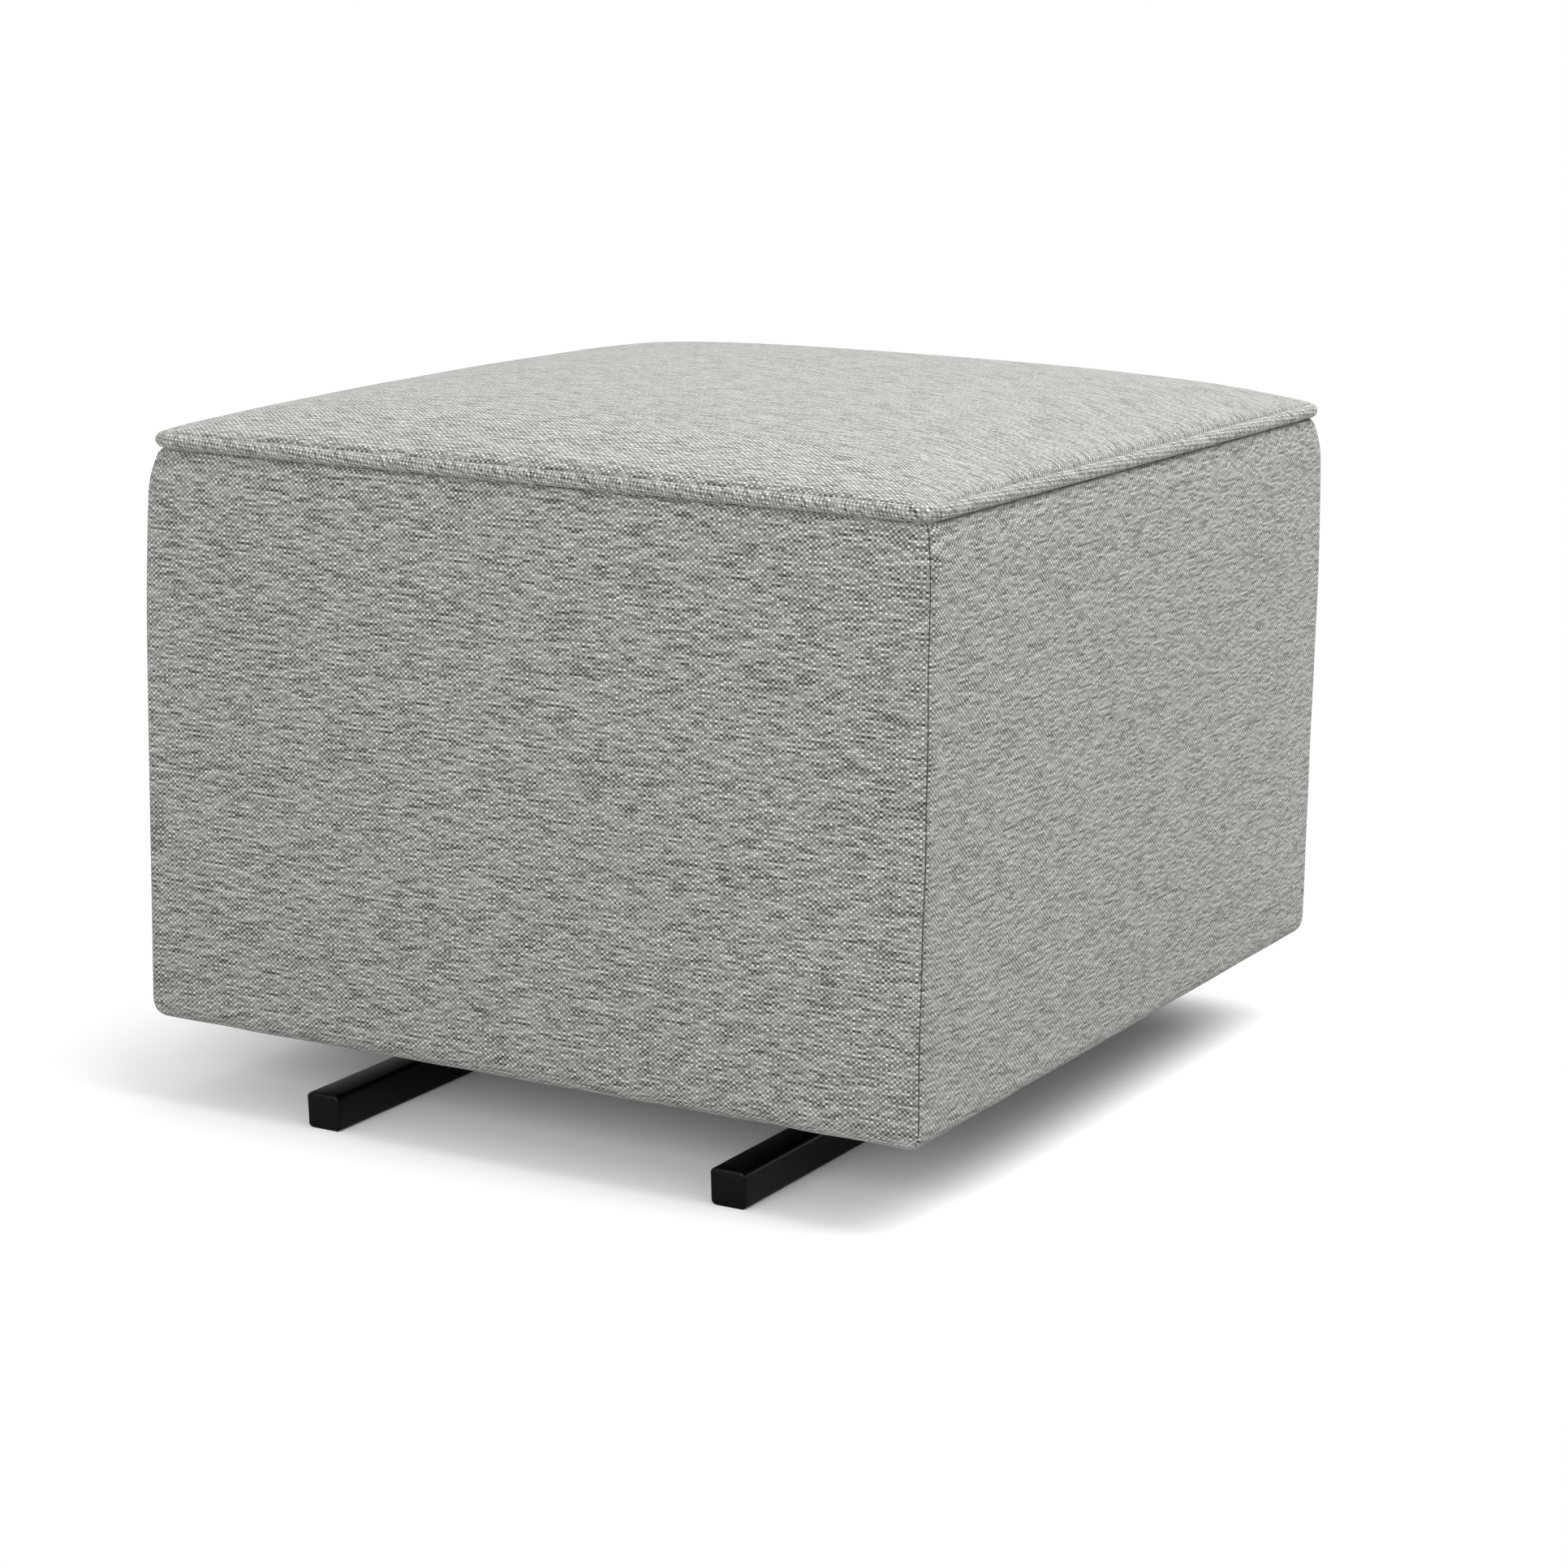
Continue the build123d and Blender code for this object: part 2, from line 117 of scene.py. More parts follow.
def new_piece(name: str, points: np.ndarray, faces: np.ndarray, cloth: np.ndarray) -> bpy.types.Object:
    """Makes a smooth piece from arrays, links it to the scene and leaves it at the origin.

    Args:
        name: the piece's name.
        points: n x 3, in metres.
        faces: the four point numbers of each face.
        cloth: the cloth coordinates of each face's corners, faces x 4 x 2.

    Returns:
        The new object.
    """
    mesh = bpy.data.meshes.new(name)
    mesh.vertices.add(len(points))
    mesh.vertices.foreach_set("co", points.astype(np.float32).ravel())
    mesh.loops.add(faces.size)
    mesh.loops.foreach_set("vertex_index", faces.astype(np.int32).ravel())
    mesh.polygons.add(len(faces))
    mesh.polygons.foreach_set("loop_start", np.arange(0, faces.size, 4, dtype=np.int32))
    mesh.update(calc_edges=True)
    mesh.uv_layers.new(name=CLOTH_MAP).data.foreach_set("uv", cloth.astype(np.float32).ravel())
    mesh.shade_smooth()
    piece = bpy.data.objects.new(name, mesh)
    bpy.context.scene.collection.objects.link(piece)
    return piece


def piece_from(name: str, patches: Sequence[Patch], crease: float | None = None) -> bpy.types.Object:
    """Joins patches along their shared edges into one closed, outward-facing piece.

    Args:
        name: the piece's name.
        patches: grids whose shared edges have the same points.
        crease: the angle in degrees above which an edge stays sharp, or None for all smooth.

    Returns:
        The new object.
    """
    quads, coords, cloth, start = [], [], [], 0
    for patch in patches:
        corners, uv = patch.quads()
        quads.append(corners + start)
        cloth.append(uv)
        coords.append(patch.points.reshape(-1, 3))
        start += len(coords[-1])
    piece = new_piece(name, *map(np.concatenate, (coords, quads, cloth)))
    mesh = piece.data
    work = bmesh.new()
    work.from_mesh(mesh)
    bmesh.ops.remove_doubles(work, verts=work.verts, dist=2e-6)
    rims = [edge for edge in work.edges if edge.is_boundary]
    if rims:
        bmesh.ops.holes_fill(work, edges=rims, sides=0)
    bmesh.ops.recalc_face_normals(work, faces=work.faces)
    work.to_mesh(mesh)
    work.free()
    mesh.shade_smooth()
    if crease is not None:
        mesh.set_sharp_from_angle(angle=math.radians(crease))
    return piece


def points_of(piece: bpy.types.Object) -> np.ndarray:
    """Returns a piece's points as an n x 3 array."""
    coords = np.zeros(len(piece.data.vertices) * 3, np.float32)
    piece.data.vertices.foreach_get("co", coords)
    return coords.reshape(-1, 3).astype(float)


def put_points(piece: bpy.types.Object, points: np.ndarray) -> None:
    """Moves a piece's points to the given n x 3 array."""
    piece.data.vertices.foreach_set("co", points.astype(np.float32).ravel())
    piece.data.update()


def subdivide(piece: bpy.types.Object, levels: int = 1) -> None:
    """Adds a subdivision surface with the same levels in the view and in the render.

    Args:
        piece: the piece to round.
        levels: how often each face is divided.
    """
    modifier = piece.modifiers.new("rounding", "SUBSURF")
    modifier.levels = modifier.render_levels = levels
    modifier.boundary_smooth = "PRESERVE_CORNERS"


def turned(points: np.ndarray, side: BoxSide) -> np.ndarray:
    """Turns points made for the front wall to another wall, by quarter turns about Z.

    Args:
        points: points with X, Y and Z along the last axis.
        side: the wall to turn them to.

    Returns:
        The turned points, in the same layout.
    """
    turns = np.array([[1, 0], [0, 1], [-1, 0], [0, -1]], float)
    cos, sin = turns[side.value]
    out = points.copy()
    out[..., 0] = cos * points[..., 0] - sin * points[..., 1]
    out[..., 1] = sin * points[..., 0] + cos * points[..., 1]
    return out


def ripple(x: np.ndarray, y: np.ndarray, seed: int, wave: float) -> np.ndarray:
    """A gentle unevenness from -1 to 1: the mean of six sine waves in seeded directions.

    Args:
        x: distance one way, in metres.
        y: distance the other way.
        seed: which unevenness.
        wave: the usual wavelength, in metres.

    Returns:
        One height for each place.
    """
    pick = np.random.default_rng(seed)
    heading = pick.uniform(0, 2 * np.pi, 6)
    pitch = wave * pick.uniform(0.7, 1.6, 6)
    phase = pick.uniform(0, 2 * np.pi, 6)
    along = x[..., None] * np.cos(heading) + y[..., None] * np.sin(heading)
    return np.sin(2 * np.pi * along / pitch + phase).mean(-1)


def run_length(x: np.ndarray, y: np.ndarray) -> np.ndarray:
    """Returns the distance along a line of points from its first point, as sums of the gaps."""
    return np.concatenate([[0.0], np.cumsum(np.hypot(np.diff(x), np.diff(y)))])


def round_angles(count: int) -> np.ndarray:
    """Returns angles evenly round a circle, from 0, as a row."""
    return np.linspace(0, 2 * np.pi, count, endpoint=False)[None, :]


def grid(*parts: np.ndarray) -> np.ndarray:
    """Returns rows and columns of coordinates, broadcast together and stacked along a last axis."""
    return np.stack(np.broadcast_arrays(*parts), -1)


def rounded_rectangle(half_x: float, half_y: float, radius: float, step: float) -> tuple[np.ndarray, ...]:
    """Points evenly along a rounded rectangle, counter-clockwise from the middle of the front side.

    Each quarter is a half side, a quarter circle and the next half side, and four of them, each
    turned by 90 degrees, close the line.

    Args:
        half_x: half the size along X.
        half_y: half the size along Y.
        radius: the corner radius.
        step: the distance between points.

    Returns:
        The points (n x 2), the outward directions (n x 2) and the distance along the line.
    """
    places, outward = [], []
    for turn in range(4):
        reach, across = (half_x, half_y) if turn % 2 == 0 else (half_y, half_x)
        run = np.linspace(0, reach - radius, max(2, round((reach - radius) / step)), endpoint=False)
        bend = np.linspace(0, np.pi / 2, max(4, round(radius * np.pi / 2 / step)), endpoint=False)
        rise = np.linspace(radius - across, 0, max(2, round((across - radius) / step)), endpoint=False)
        round_it = np.stack([np.sin(bend), -np.cos(bend)], -1)
        place = [
            np.stack([run, np.full_like(run, -across)], -1),
            [reach - radius, radius - across] + radius * round_it,
            np.stack([np.full_like(rise, reach), rise], -1),
        ]
        face = [np.tile([0.0, -1.0], (len(run), 1)), round_it, np.tile([1.0, 0.0], (len(rise), 1))]
        cos, sin = round(math.cos(turn * math.pi / 2)), round(math.sin(turn * math.pi / 2))
        spin = np.array([[cos, sin], [-sin, cos]], float)
        places.append(np.concatenate(place) @ spin)
        outward.append(np.concatenate(face) @ spin)
    line, normal = np.concatenate(places), np.concatenate(outward)
    gaps = np.linalg.norm(np.diff(line, axis=0, append=line[:1]), axis=1)
    return line, normal, np.concatenate([[0.0], np.cumsum(gaps)])


# ------------------------------------------------------------------------------------------- finishes


def linear(tone: str) -> tuple[float, float, float, float]:
    """Turns an sRGB hex value to linear light: (c/12.92) low down, ((c+0.055)/1.055)^2.4 above."""
    parts = [int(tone[i : i + 2], 16) / 255 for i in (1, 3, 5)]
    return (*[c / 12.92 if c <= 0.04045 else ((c + 0.055) / 1.055) ** 2.4 for c in parts], 1.0)


def add_node(
    tree: bpy.types.NodeTree,
    kind: str,
    sockets: Mapping[int | str, object] | None = None,
    out: int | str = 0,
    **settings: object,
) -> bpy.types.NodeSocket | None:
    """Adds one node with its settings, and fills or links its sockets.

    Args:
        tree: the node tree.
        kind: the node's type, without "ShaderNode" at its start.
        sockets: input by name or number: another node's output to link, or a value.
        out: which of its outputs to return.
        settings: the node's own options.

    Returns:
        The chosen output, or None for a node that has none.
    """
    node = tree.nodes.new("ShaderNode" + kind)
    for name, value in settings.items():
        setattr(node, name, value)
    for name, value in (sockets or {}).items():
        if isinstance(value, bpy.types.NodeSocket):
            tree.links.new(value, node.inputs[name])
        else:
            node.inputs[name].default_value = value
    return node.outputs[out] if len(node.outputs) else None


@dataclass(frozen=True)
class Finish:
    """A surface finish: the material's name, and how its nodes are laid. Lengths are in millimetres."""

    name: str

    def material(self) -> bpy.types.Material:
        """Makes the finish's material the first time it is asked for.

        Returns:
            The material.
        """
        ready = bpy.data.materials.get(self.name)
        if ready:
            return ready
        made = bpy.data.materials.new(self.name)
        made.use_nodes = True
        made.node_tree.nodes.clear()
        self.wire(made.node_tree)
        return made

    def wire(self, tree: bpy.types.NodeTree) -> None:
        """Fills the material's node tree."""
        raise NotImplementedError

    def close(
        self,
        tree: bpy.types.NodeTree,
        tone: bpy.types.NodeSocket,
        roughness: object,
        relief: tuple[bpy.types.NodeSocket, float, float] | None = None,
        **others: object,
    ) -> None:
        """Ends a node tree with a bump, the shader and the output.

        Args:
            tree: the material's node tree.
            tone: the base colour.
            roughness: the shader's roughness, as a number or another node's output.
            relief: the bump's height, strength and depth, or None for a smooth surface.
            others: the shader's other inputs, with _ for a space.
        """
        inputs = {"Base Color": tone, "Roughness": roughness}
        inputs |= {name.replace("_", " "): value for name, value in others.items()}
        if relief:
            height, strength, depth = relief
            bump = {"Strength": strength, "Distance": depth * MM, "Height": height}
            inputs["Normal"] = add_node(tree, "Bump", bump)
        add_node(tree, "OutputMaterial", {0: add_node(tree, "BsdfPrincipled", inputs)})

    def put_on(self, piece: bpy.types.Object) -> None:
        """Gives the finish to a whole piece, in every slot that it has.

        Args:
            piece: the piece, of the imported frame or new.
        """
        if not piece.data.materials:
            piece.data.materials.append(self.material())
        for slot in piece.material_slots:
            slot.material = self.material()


@dataclass(frozen=True)
class HeatheredWeave(Finish):
    """Plain-woven polyester upholstery: pale warps over weft spun from mixed light and dark fibre.

    It gives the eye fine rows of knots, short dark streaks along the weft, and a soft matt bloom. The
    cloth has 9.4 warps and 12 wefts to the centimetre. Threads that fine are lost in the render, so
    they are drawn about 1.6 times as coarse.

    Attributes:
        weft_tones, warp_tones: each yarn's dark and pale fibre.
        stray, stray_scale: how far threads wander, and the scale of that noise per millimetre.
        knot_edge: half the range of the knots' wave in which warp and weft change places.
        painted_hollow_shade, painted_hollow_shade_edge: the brightness of the painted shade between
        the knots, and where on the wave it ends.
        slub_length, slub_below, slub_edge, slub_depth: a slub's length, the fibre noise under which
            the yarn is one, the softness of that step, and how bright a slub leaves the cloth.
        spin, pale_from, pale_to: the fibre noise's roughness, and its range from dark to pale.
        cloud_scale, cloud_share: a broad noise that is added to the fibre's.
        thread_step: how far apart two neighbouring threads read their noise.
        dash: the length of a raised or sunken stretch of weft, in warps.
        height_step_from, height_step_to, sunk_painted_shade, raised_painted_highlight: the range of the
        stretches' height difference, and the brightness at its two ends: painted shade for a sunken
        stretch and painted highlight for a raised one.
        bias: the angle that the cloth is cut at, in degrees.
    """

    weft_tones: tuple[str, str] = ("#525351", "#91928D")
    warp_tones: tuple[str, str] = ("#ACACA7", "#C6C6C0")
    warp_pitch: float = 1.64
    weft_pitch: float = 1.45
    stray: float = 0.6
    stray_scale: float = 0.06
    knot_edge: float = 0.3
    painted_hollow_shade: float = 0.64
    painted_hollow_shade_edge: float = 0.7
    slub_length: float = 16.0
    slub_below: float = 0.41
    slub_edge: float = 0.04
    slub_depth: float = 0.7
    spin: float = 0.5
    pale_from: float = 0.41
    pale_to: float = 0.65
    cloud_scale: float = 0.045
    cloud_share: float = 0.1
    thread_step: float = 7.31
    dash: float = 3.0
    height_step_from: float = -0.75
    height_step_to: float = 0.55
    sunk_painted_shade: float = 0.49
    raised_painted_highlight: float = 1.31
    bias: float = 0.0
    sheen: float = 0.2

    def wire(self, tree: bpy.types.NodeTree) -> None:
        """Weaves the cloth.

        Threads are numbered by rounding down the cloth coordinates over the pitch. The product of two
        sines says which thread is on top, each thread has its own noise along its length, the hollows
        between the knots are darkened as painted shade, and raised stretches of weft are lightened as
        painted highlight and sunken ones darkened as painted shade.

        Args:
            tree: the material's node tree.
        """
        at = add_node(tree, "UVMap", out="UV", uv_map=CLOTH_MAP)
        turned_by = (0, 0, math.radians(self.bias))
        place = add_node(tree, "Mapping", {0: at, "Rotation": turned_by, "Scale": (1 / MM,) * 3})
        # The threads wander by part of their pitch, as loosely spun yarn does.
        noise = {0: place, "Scale": self.stray_scale, "Detail": 3.0}
        stray = add_node(tree, "TexNoise", noise, out="Color")
        stray = add_node(tree, "VectorMath", {0: stray, 1: (0.5, 0.5, 0.5)}, operation="SUBTRACT")
        reach = (self.stray, self.stray, 0)
        place = add_node(tree, "VectorMath", {0: stray, 1: reach, 2: place}, operation="MULTIPLY_ADD")
        along = add_node(tree, "SeparateXYZ", {0: place})
        up = along.node.outputs[1]
        threads, number, wave = {}, {}, {}
        for thread, way, pitch in (("warp", along, self.warp_pitch), ("weft", up, self.weft_pitch)):
            threads[thread] = add_node(tree, "Math", {0: way, 1: pitch}, operation="DIVIDE")
            number[thread] = add_node(tree, "Math", {0: threads[thread]}, operation="FLOOR")
            turn = add_node(tree, "Math", {0: threads[thread], 1: math.pi}, operation="MULTIPLY")
            wave[thread] = add_node(tree, "Math", {0: turn}, operation="SINE")
        knot = add_node(tree, "Math", {0: wave["warp"], 1: wave["weft"]}, operation="MULTIPLY")
        edges = {0: knot, "From Min": -self.knot_edge, "From Max": self.knot_edge}
        over = add_node(tree, "MapRange", edges, interpolation_type="SMOOTHSTEP")
        cloud = add_node(tree, "TexNoise", {0: place, "Scale": self.cloud_scale, "Detail": 2.0})
        tones, spun = {}, {}
        for thread, way, long, (dark, pale) in (
            ("weft", along, self.slub_length, self.weft_tones),
            ("warp", up, self.slub_length / 2, self.warp_tones),
        ):
            reach = add_node(tree, "Math", {0: way, 1: long}, operation="DIVIDE")
            apart = add_node(tree, "Math", {0: number[thread], 1: self.thread_step}, operation="MULTIPLY")
            key = add_node(tree, "CombineXYZ", {0: reach, 1: apart})
            noise = {0: key, "Scale": 1.0, "Detail": 4.0, "Roughness": self.spin}
            fibre = add_node(tree, "TexNoise", noise, noise_dimensions="2D")
            mixed = {0: cloud, 1: self.cloud_share, 2: fibre}
            spun[thread] = add_node(tree, "Math", mixed, operation="MULTIPLY_ADD")
            ends = {0: spun[thread], "From Min": self.pale_from, "From Max": self.pale_to}
            mixed = {0: add_node(tree, "MapRange", ends), 6: linear(dark), 7: linear(pale)}
            tones[thread] = add_node(tree, "Mix", mixed, out=2, data_type="RGBA")
        mixed = {0: over, 6: tones["weft"], 7: tones["warp"]}
        tone = add_node(tree, "Mix", mixed, out=2, data_type="RGBA")
        depth = add_node(tree, "Math", {0: knot}, operation="ABSOLUTE")
        # Painted shade: in the hollows between the knots the tone is darkened down to painted_hollow_shade.
        ends = {0: depth, "From Max": self.painted_hollow_shade_edge, "To Min": self.painted_hollow_shade}
        painted_shades_and_slub = [add_node(tree, "MapRange", ends)]
        # A thick dark slub lies over its neighbours, so it darkens the warps that cross it too.
        low, high = self.slub_below - self.slub_edge, self.slub_below + self.slub_edge
        ends = {0: spun["weft"], "From Min": low, "From Max": high, "To Min": self.slub_depth}
        painted_shades_and_slub.append(add_node(tree, "MapRange", ends, interpolation_type="SMOOTHSTEP"))
        # No two stretches of yarn stand equally high, and a high one presses down its neighbour in the next
        # row: the difference of two random numbers, one for the stretch and one for its neighbour. A raised
        # stretch is painted lighter as painted highlight and a sunken one darker as painted shade. A
        # stretch is a few warps long, and each row starts its stretches at a random place.
        reach = add_node(tree, "Math", {0: threads["warp"], 1: self.dash}, operation="DIVIDE")
        stretch_heights = []
        for step in (0, 1):
            row = add_node(tree, "Math", {0: number["weft"], 1: step}, operation="ADD")
            start = add_node(tree, "TexWhiteNoise", {"W": row}, noise_dimensions="1D")
            slid = add_node(tree, "Math", {0: start, 1: reach}, operation="ADD")
            column = add_node(tree, "Math", {0: slid}, operation="FLOOR")
            key = add_node(tree, "CombineXYZ", {0: column, 1: row})
            stretch_heights.append(add_node(tree, "TexWhiteNoise", {0: key}, noise_dimensions="2D"))
        height_step = add_node(tree, "Math", {0: stretch_heights[0], 1: stretch_heights[1]}, operation="SUBTRACT")
        ends = {"From Min": self.height_step_from, "From Max": self.height_step_to}
        ends |= {"To Min": self.sunk_painted_shade, "To Max": self.raised_painted_highlight}
        painted_shades_and_slub.append(add_node(tree, "MapRange", {0: height_step, **ends}))
        shade = add_node(tree, "Math", {0: painted_shades_and_slub[0], 1: painted_shades_and_slub[1]}, operation="MULTIPLY")
        shade = add_node(tree, "Math", {0: shade, 1: painted_shades_and_slub[2]}, operation="MULTIPLY")
        # The tone is scaled by the painted shade of the hollows, the slub's darkening, and the painted
        # highlight and shade of the stretches.
        tone = add_node(tree, "VectorMath", {0: tone, "Scale": shade}, operation="SCALE")
        bloom = {"Specular IOR Level": 0.2, "Sheen Weight": self.sheen, "Sheen Roughness": 0.5}
        self.close(tree, tone, 0.92, (depth, 0.35, 0.25), **bloom)


@dataclass(frozen=True)
class SewingThread(Finish):
    """Bonded polyester sewing thread, twisted: a dull dark line with a fine diagonal twist."""

    tones: tuple[str, str] = ("#1F201F", "#343533")
    twist: float = 2.375

    def wire(self, tree: bpy.types.NodeTree) -> None:
        """Slanting bands, `twist` apart along each axis: the wave has ten radians to a unit of Scale.

        Args:
            tree: the material's node tree.
        """
        at = add_node(tree, "TexCoord", out="Object")
        bands = {"Vector": at, "Scale": math.tau / 10 / (self.twist * MM), "Distortion": 2.0}
        twist = add_node(tree, "TexWave", bands, out="Fac", bands_direction="DIAGONAL")
        low, high = map(linear, self.tones)
        tone = add_node(tree, "Mix", {0: twist, 6: low, 7: high}, out=2, data_type="RGBA")
        self.close(tree, tone, 0.7)


@dataclass(frozen=True)
class CloudedFinish(Finish):
    """A hard finish: a soft cloud in its tone and gloss, and a fine grain in its relief.

    Attributes:
        tones, roughness: the values at the cloud's low and high end.
        cloud, cloud_detail, cloud_roughness: the size of the cloud's noise, and how fine it goes.
        cloud_ends: the range of the noise that the tones are spread over.
        grain: the size of the grain.
        relief: the bump's strength and depth.
        metal, specular: the shader's own.
    """

    tones: tuple[str, str]
    roughness: tuple[float, float]
    cloud: float
    cloud_detail: float
    grain: float
    relief: tuple[float, float]
    cloud_ends: tuple[float, float] = (0.0, 1.0)
    cloud_roughness: float = 0.5
    metal: float = 0.0
    specular: float = 0.5

    def wire(self, tree: bpy.types.NodeTree) -> None:
        """Noise as large as `cloud` drives tone and roughness, and noise as fine as `grain` the bump.

        Args:
            tree: the material's node tree.
        """
        at = add_node(tree, "TexCoord", out="Object")
        noise = {"Vector": at, "Scale": 1 / (self.cloud * MM), "Detail": self.cloud_detail}
        cloud = add_node(tree, "TexNoise", {**noise, "Roughness": self.cloud_roughness})
        grain = add_node(tree, "TexNoise", {"Vector": at, "Scale": 1 / (self.grain * MM), "Detail": 2.0})
        ends = {"Value": cloud, "From Min": self.cloud_ends[0], "From Max": self.cloud_ends[1]}
        share = add_node(tree, "MapRange", ends)
        low, high = map(linear, self.tones)
        tone = add_node(tree, "Mix", {0: share, 6: low, 7: high}, out=2, data_type="RGBA")
        rough, smooth = self.roughness
        if rough != smooth:
            rough = add_node(tree, "MapRange", {"Value": cloud, "To Min": rough, "To Max": smooth})
        look = {"Metallic": self.metal, "Specular IOR Level": self.specular}
        self.close(tree, tone, rough, (grain, *self.relief), **look)


@dataclass(frozen=True)
class PowderCoat(CloudedFinish):
    """Steel tube, polyester powder coated satin black: deep black with a faint orange-peel gloss."""

    tones: tuple[str, str] = ("#070708", "#121213")
    roughness: tuple[float, float] = (0.23, 0.40)
    cloud: float = 55.5556
    cloud_detail: float = 5.0
    grain: float = 2.2
    relief: tuple[float, float] = (0.25, 0.05)
    cloud_ends: tuple[float, float] = (0.45, 0.8)
    cloud_roughness: float = 0.7
    specular: float = 0.2


@dataclass(frozen=True)
class ZincPlate(CloudedFinish):
    """Cold-headed steel, bright zinc plated: cool grey metal with a spangled, slightly cloudy gloss."""

    tones: tuple[str, str] = ("#A3A7AB", "#C4C8CB")
    roughness: tuple[float, float] = (0.42, 0.26)
    cloud: float = 1.5
    cloud_detail: float = 4.0
    grain: float = 0.3
    relief: tuple[float, float] = (0.2, 0.03)
    metal: float = 1.0


@dataclass(frozen=True)
class MouldedRubber(CloudedFinish):
    """Moulded rubber: matt charcoal with a bloom and a fine mould texture."""

    tones: tuple[str, str] = ("#1C1C1B", "#2C2C2A")
    roughness: tuple[float, float] = (0.78, 0.78)
    cloud: float = 4.0
    cloud_detail: float = 3.0
    grain: float = 0.5
    relief: tuple[float, float] = (0.3, 0.05)


@dataclass(frozen=True)
class SawnWood(Finish):
    """Sawn timber or laid-up veneer: pale wood with grain drawn out along one axis."""

    grain: Grain = Grain.ALONG_X
    thickness_axis: Grain = Grain.ALONG_Z
    tones: tuple[str, str] = ("#B08A5C", "#D8BE97")
    glue: str = "#6E4F33"
    ply: float = 0.0
    fibre_width: float = 3.0
    fibre_length: float = 42.0

    def wire(self, tree: bpy.types.NodeTree) -> None:
        """Wood: noise stretched 14 times along the grain, and ply lines across the thickness.

        Ply lines repeat every `ply` millimetres, so they show on the edges and not on the faces.

        Args:
            tree: the material's node tree.
        """
        at = add_node(tree, "TexCoord", out="Object")
        stretch = [1 / (self.fibre_width * MM)] * 3
        stretch[self.grain.value] = 1 / (self.fibre_length * MM)
        drawn = add_node(tree, "Mapping", {"Vector": at, "Scale": stretch})
        fibre = {"Vector": drawn, "Scale": 1.0, "Detail": 6.0, "Distortion": 0.6}
        fibre = add_node(tree, "TexNoise", fibre)
        broad = add_node(tree, "TexNoise", {"Vector": drawn, "Scale": 0.12, "Detail": 2.0})
        blend = add_node(tree, "Math", {0: fibre, 1: broad}, operation="MULTIPLY")
        share = add_node(tree, "MapRange", {"Value": blend, "From Min": 0.12, "From Max": 0.40})
        low, high = map(linear, self.tones)
        tone = add_node(tree, "Mix", {0: share, 6: low, 7: high}, out=2, data_type="RGBA")
        if self.ply:
            axes = add_node(tree, "SeparateXYZ", {0: at}).node.outputs
            ply = self.ply * MM
            layer = {0: axes[self.thickness_axis.value], 1: ply}
            layer = add_node(tree, "Math", layer, operation="PINGPONG")
            line = {"Value": layer, "From Min": 0.10 * ply, "From Max": 0.28 * ply}
            line = {0: add_node(tree, "MapRange", line), 6: linear(self.glue), 7: tone}
            tone = add_node(tree, "Mix", line, out=2, data_type="RGBA")
        self.close(tree, tone, 0.72, (fibre, 0.3, 0.15))


@dataclass(frozen=True)
class SpunbondCloth(Finish):
    """Spunbonded polypropylene dust cloth, black: a papery sheet with pressed dimples and pale fibres."""

    tones: tuple[str, str] = ("#161617", "#2E2E30")
    dimple: float = 2.4
    strand: float = 1.4

    def wire(self, tree: bpy.types.NodeTree) -> None:
        """Dust cloth: pressed dimples on a grid, and fibres as thin, swirling noise.

        Args:
            tree: the material's node tree.
        """
        at = add_node(tree, "UVMap", out="UV", uv_map=CLOTH_MAP)
        dots = {"Vector": at, "Scale": 1 / (self.dimple * MM), "Randomness": 0.12}
        dots = add_node(tree, "TexVoronoi", dots, voronoi_dimensions="2D")
        strand = {"Vector": at, "Scale": 1 / (self.strand * MM), "Detail": 6.0, "Distortion": 3.0}
        strand = add_node(tree, "TexNoise", strand)
        share = add_node(tree, "MapRange", {"Value": strand, "From Min": 0.42, "From Max": 0.68})
        low, high = map(linear, self.tones)
        tone = add_node(tree, "Mix", {0: share, 6: low, 7: high}, out=2, data_type="RGBA")
        height = add_node(tree, "MapRange", {"Value": dots, "From Min": 0.15, "From Max": 0.4})
        self.close(tree, tone, 0.85, (height, 0.6, 0.15))


WEAVE = HeatheredWeave("woven heathered polyester")
WELT_WEAVE = HeatheredWeave("woven heathered polyester, cut on the bias", bias=45.0)
THREAD = SewingThread("bonded polyester thread")
BLACK_STEEL = PowderCoat("powder coated steel, satin black")
ZINC = ZincPlate("zinc plated steel")
RUBBER = MouldedRubber("moulded rubber")
DUST_CLOTH = SpunbondCloth("spunbond polypropylene, black")
PLYWOOD = {
    "side": SawnWood("poplar plywood, upright along Y", Grain.ALONG_Y, Grain.ALONG_X, ply=1.5),
    "front": SawnWood("poplar plywood, upright along X", Grain.ALONG_X, Grain.ALONG_Y, ply=1.5),
    "deck": SawnWood("poplar plywood, flat", Grain.ALONG_X, Grain.ALONG_Z, ply=1.5),
}
HARDWOOD = {
    "cleat": SawnWood("rubberwood, along Y", Grain.ALONG_Y, tones=("#A27747", "#CFA877")),
    "block": SawnWood("rubberwood, upright", Grain.ALONG_Z, tones=("#A27747", "#CFA877")),
}


# ----------------------------------------------------------------------------------------- upholstery


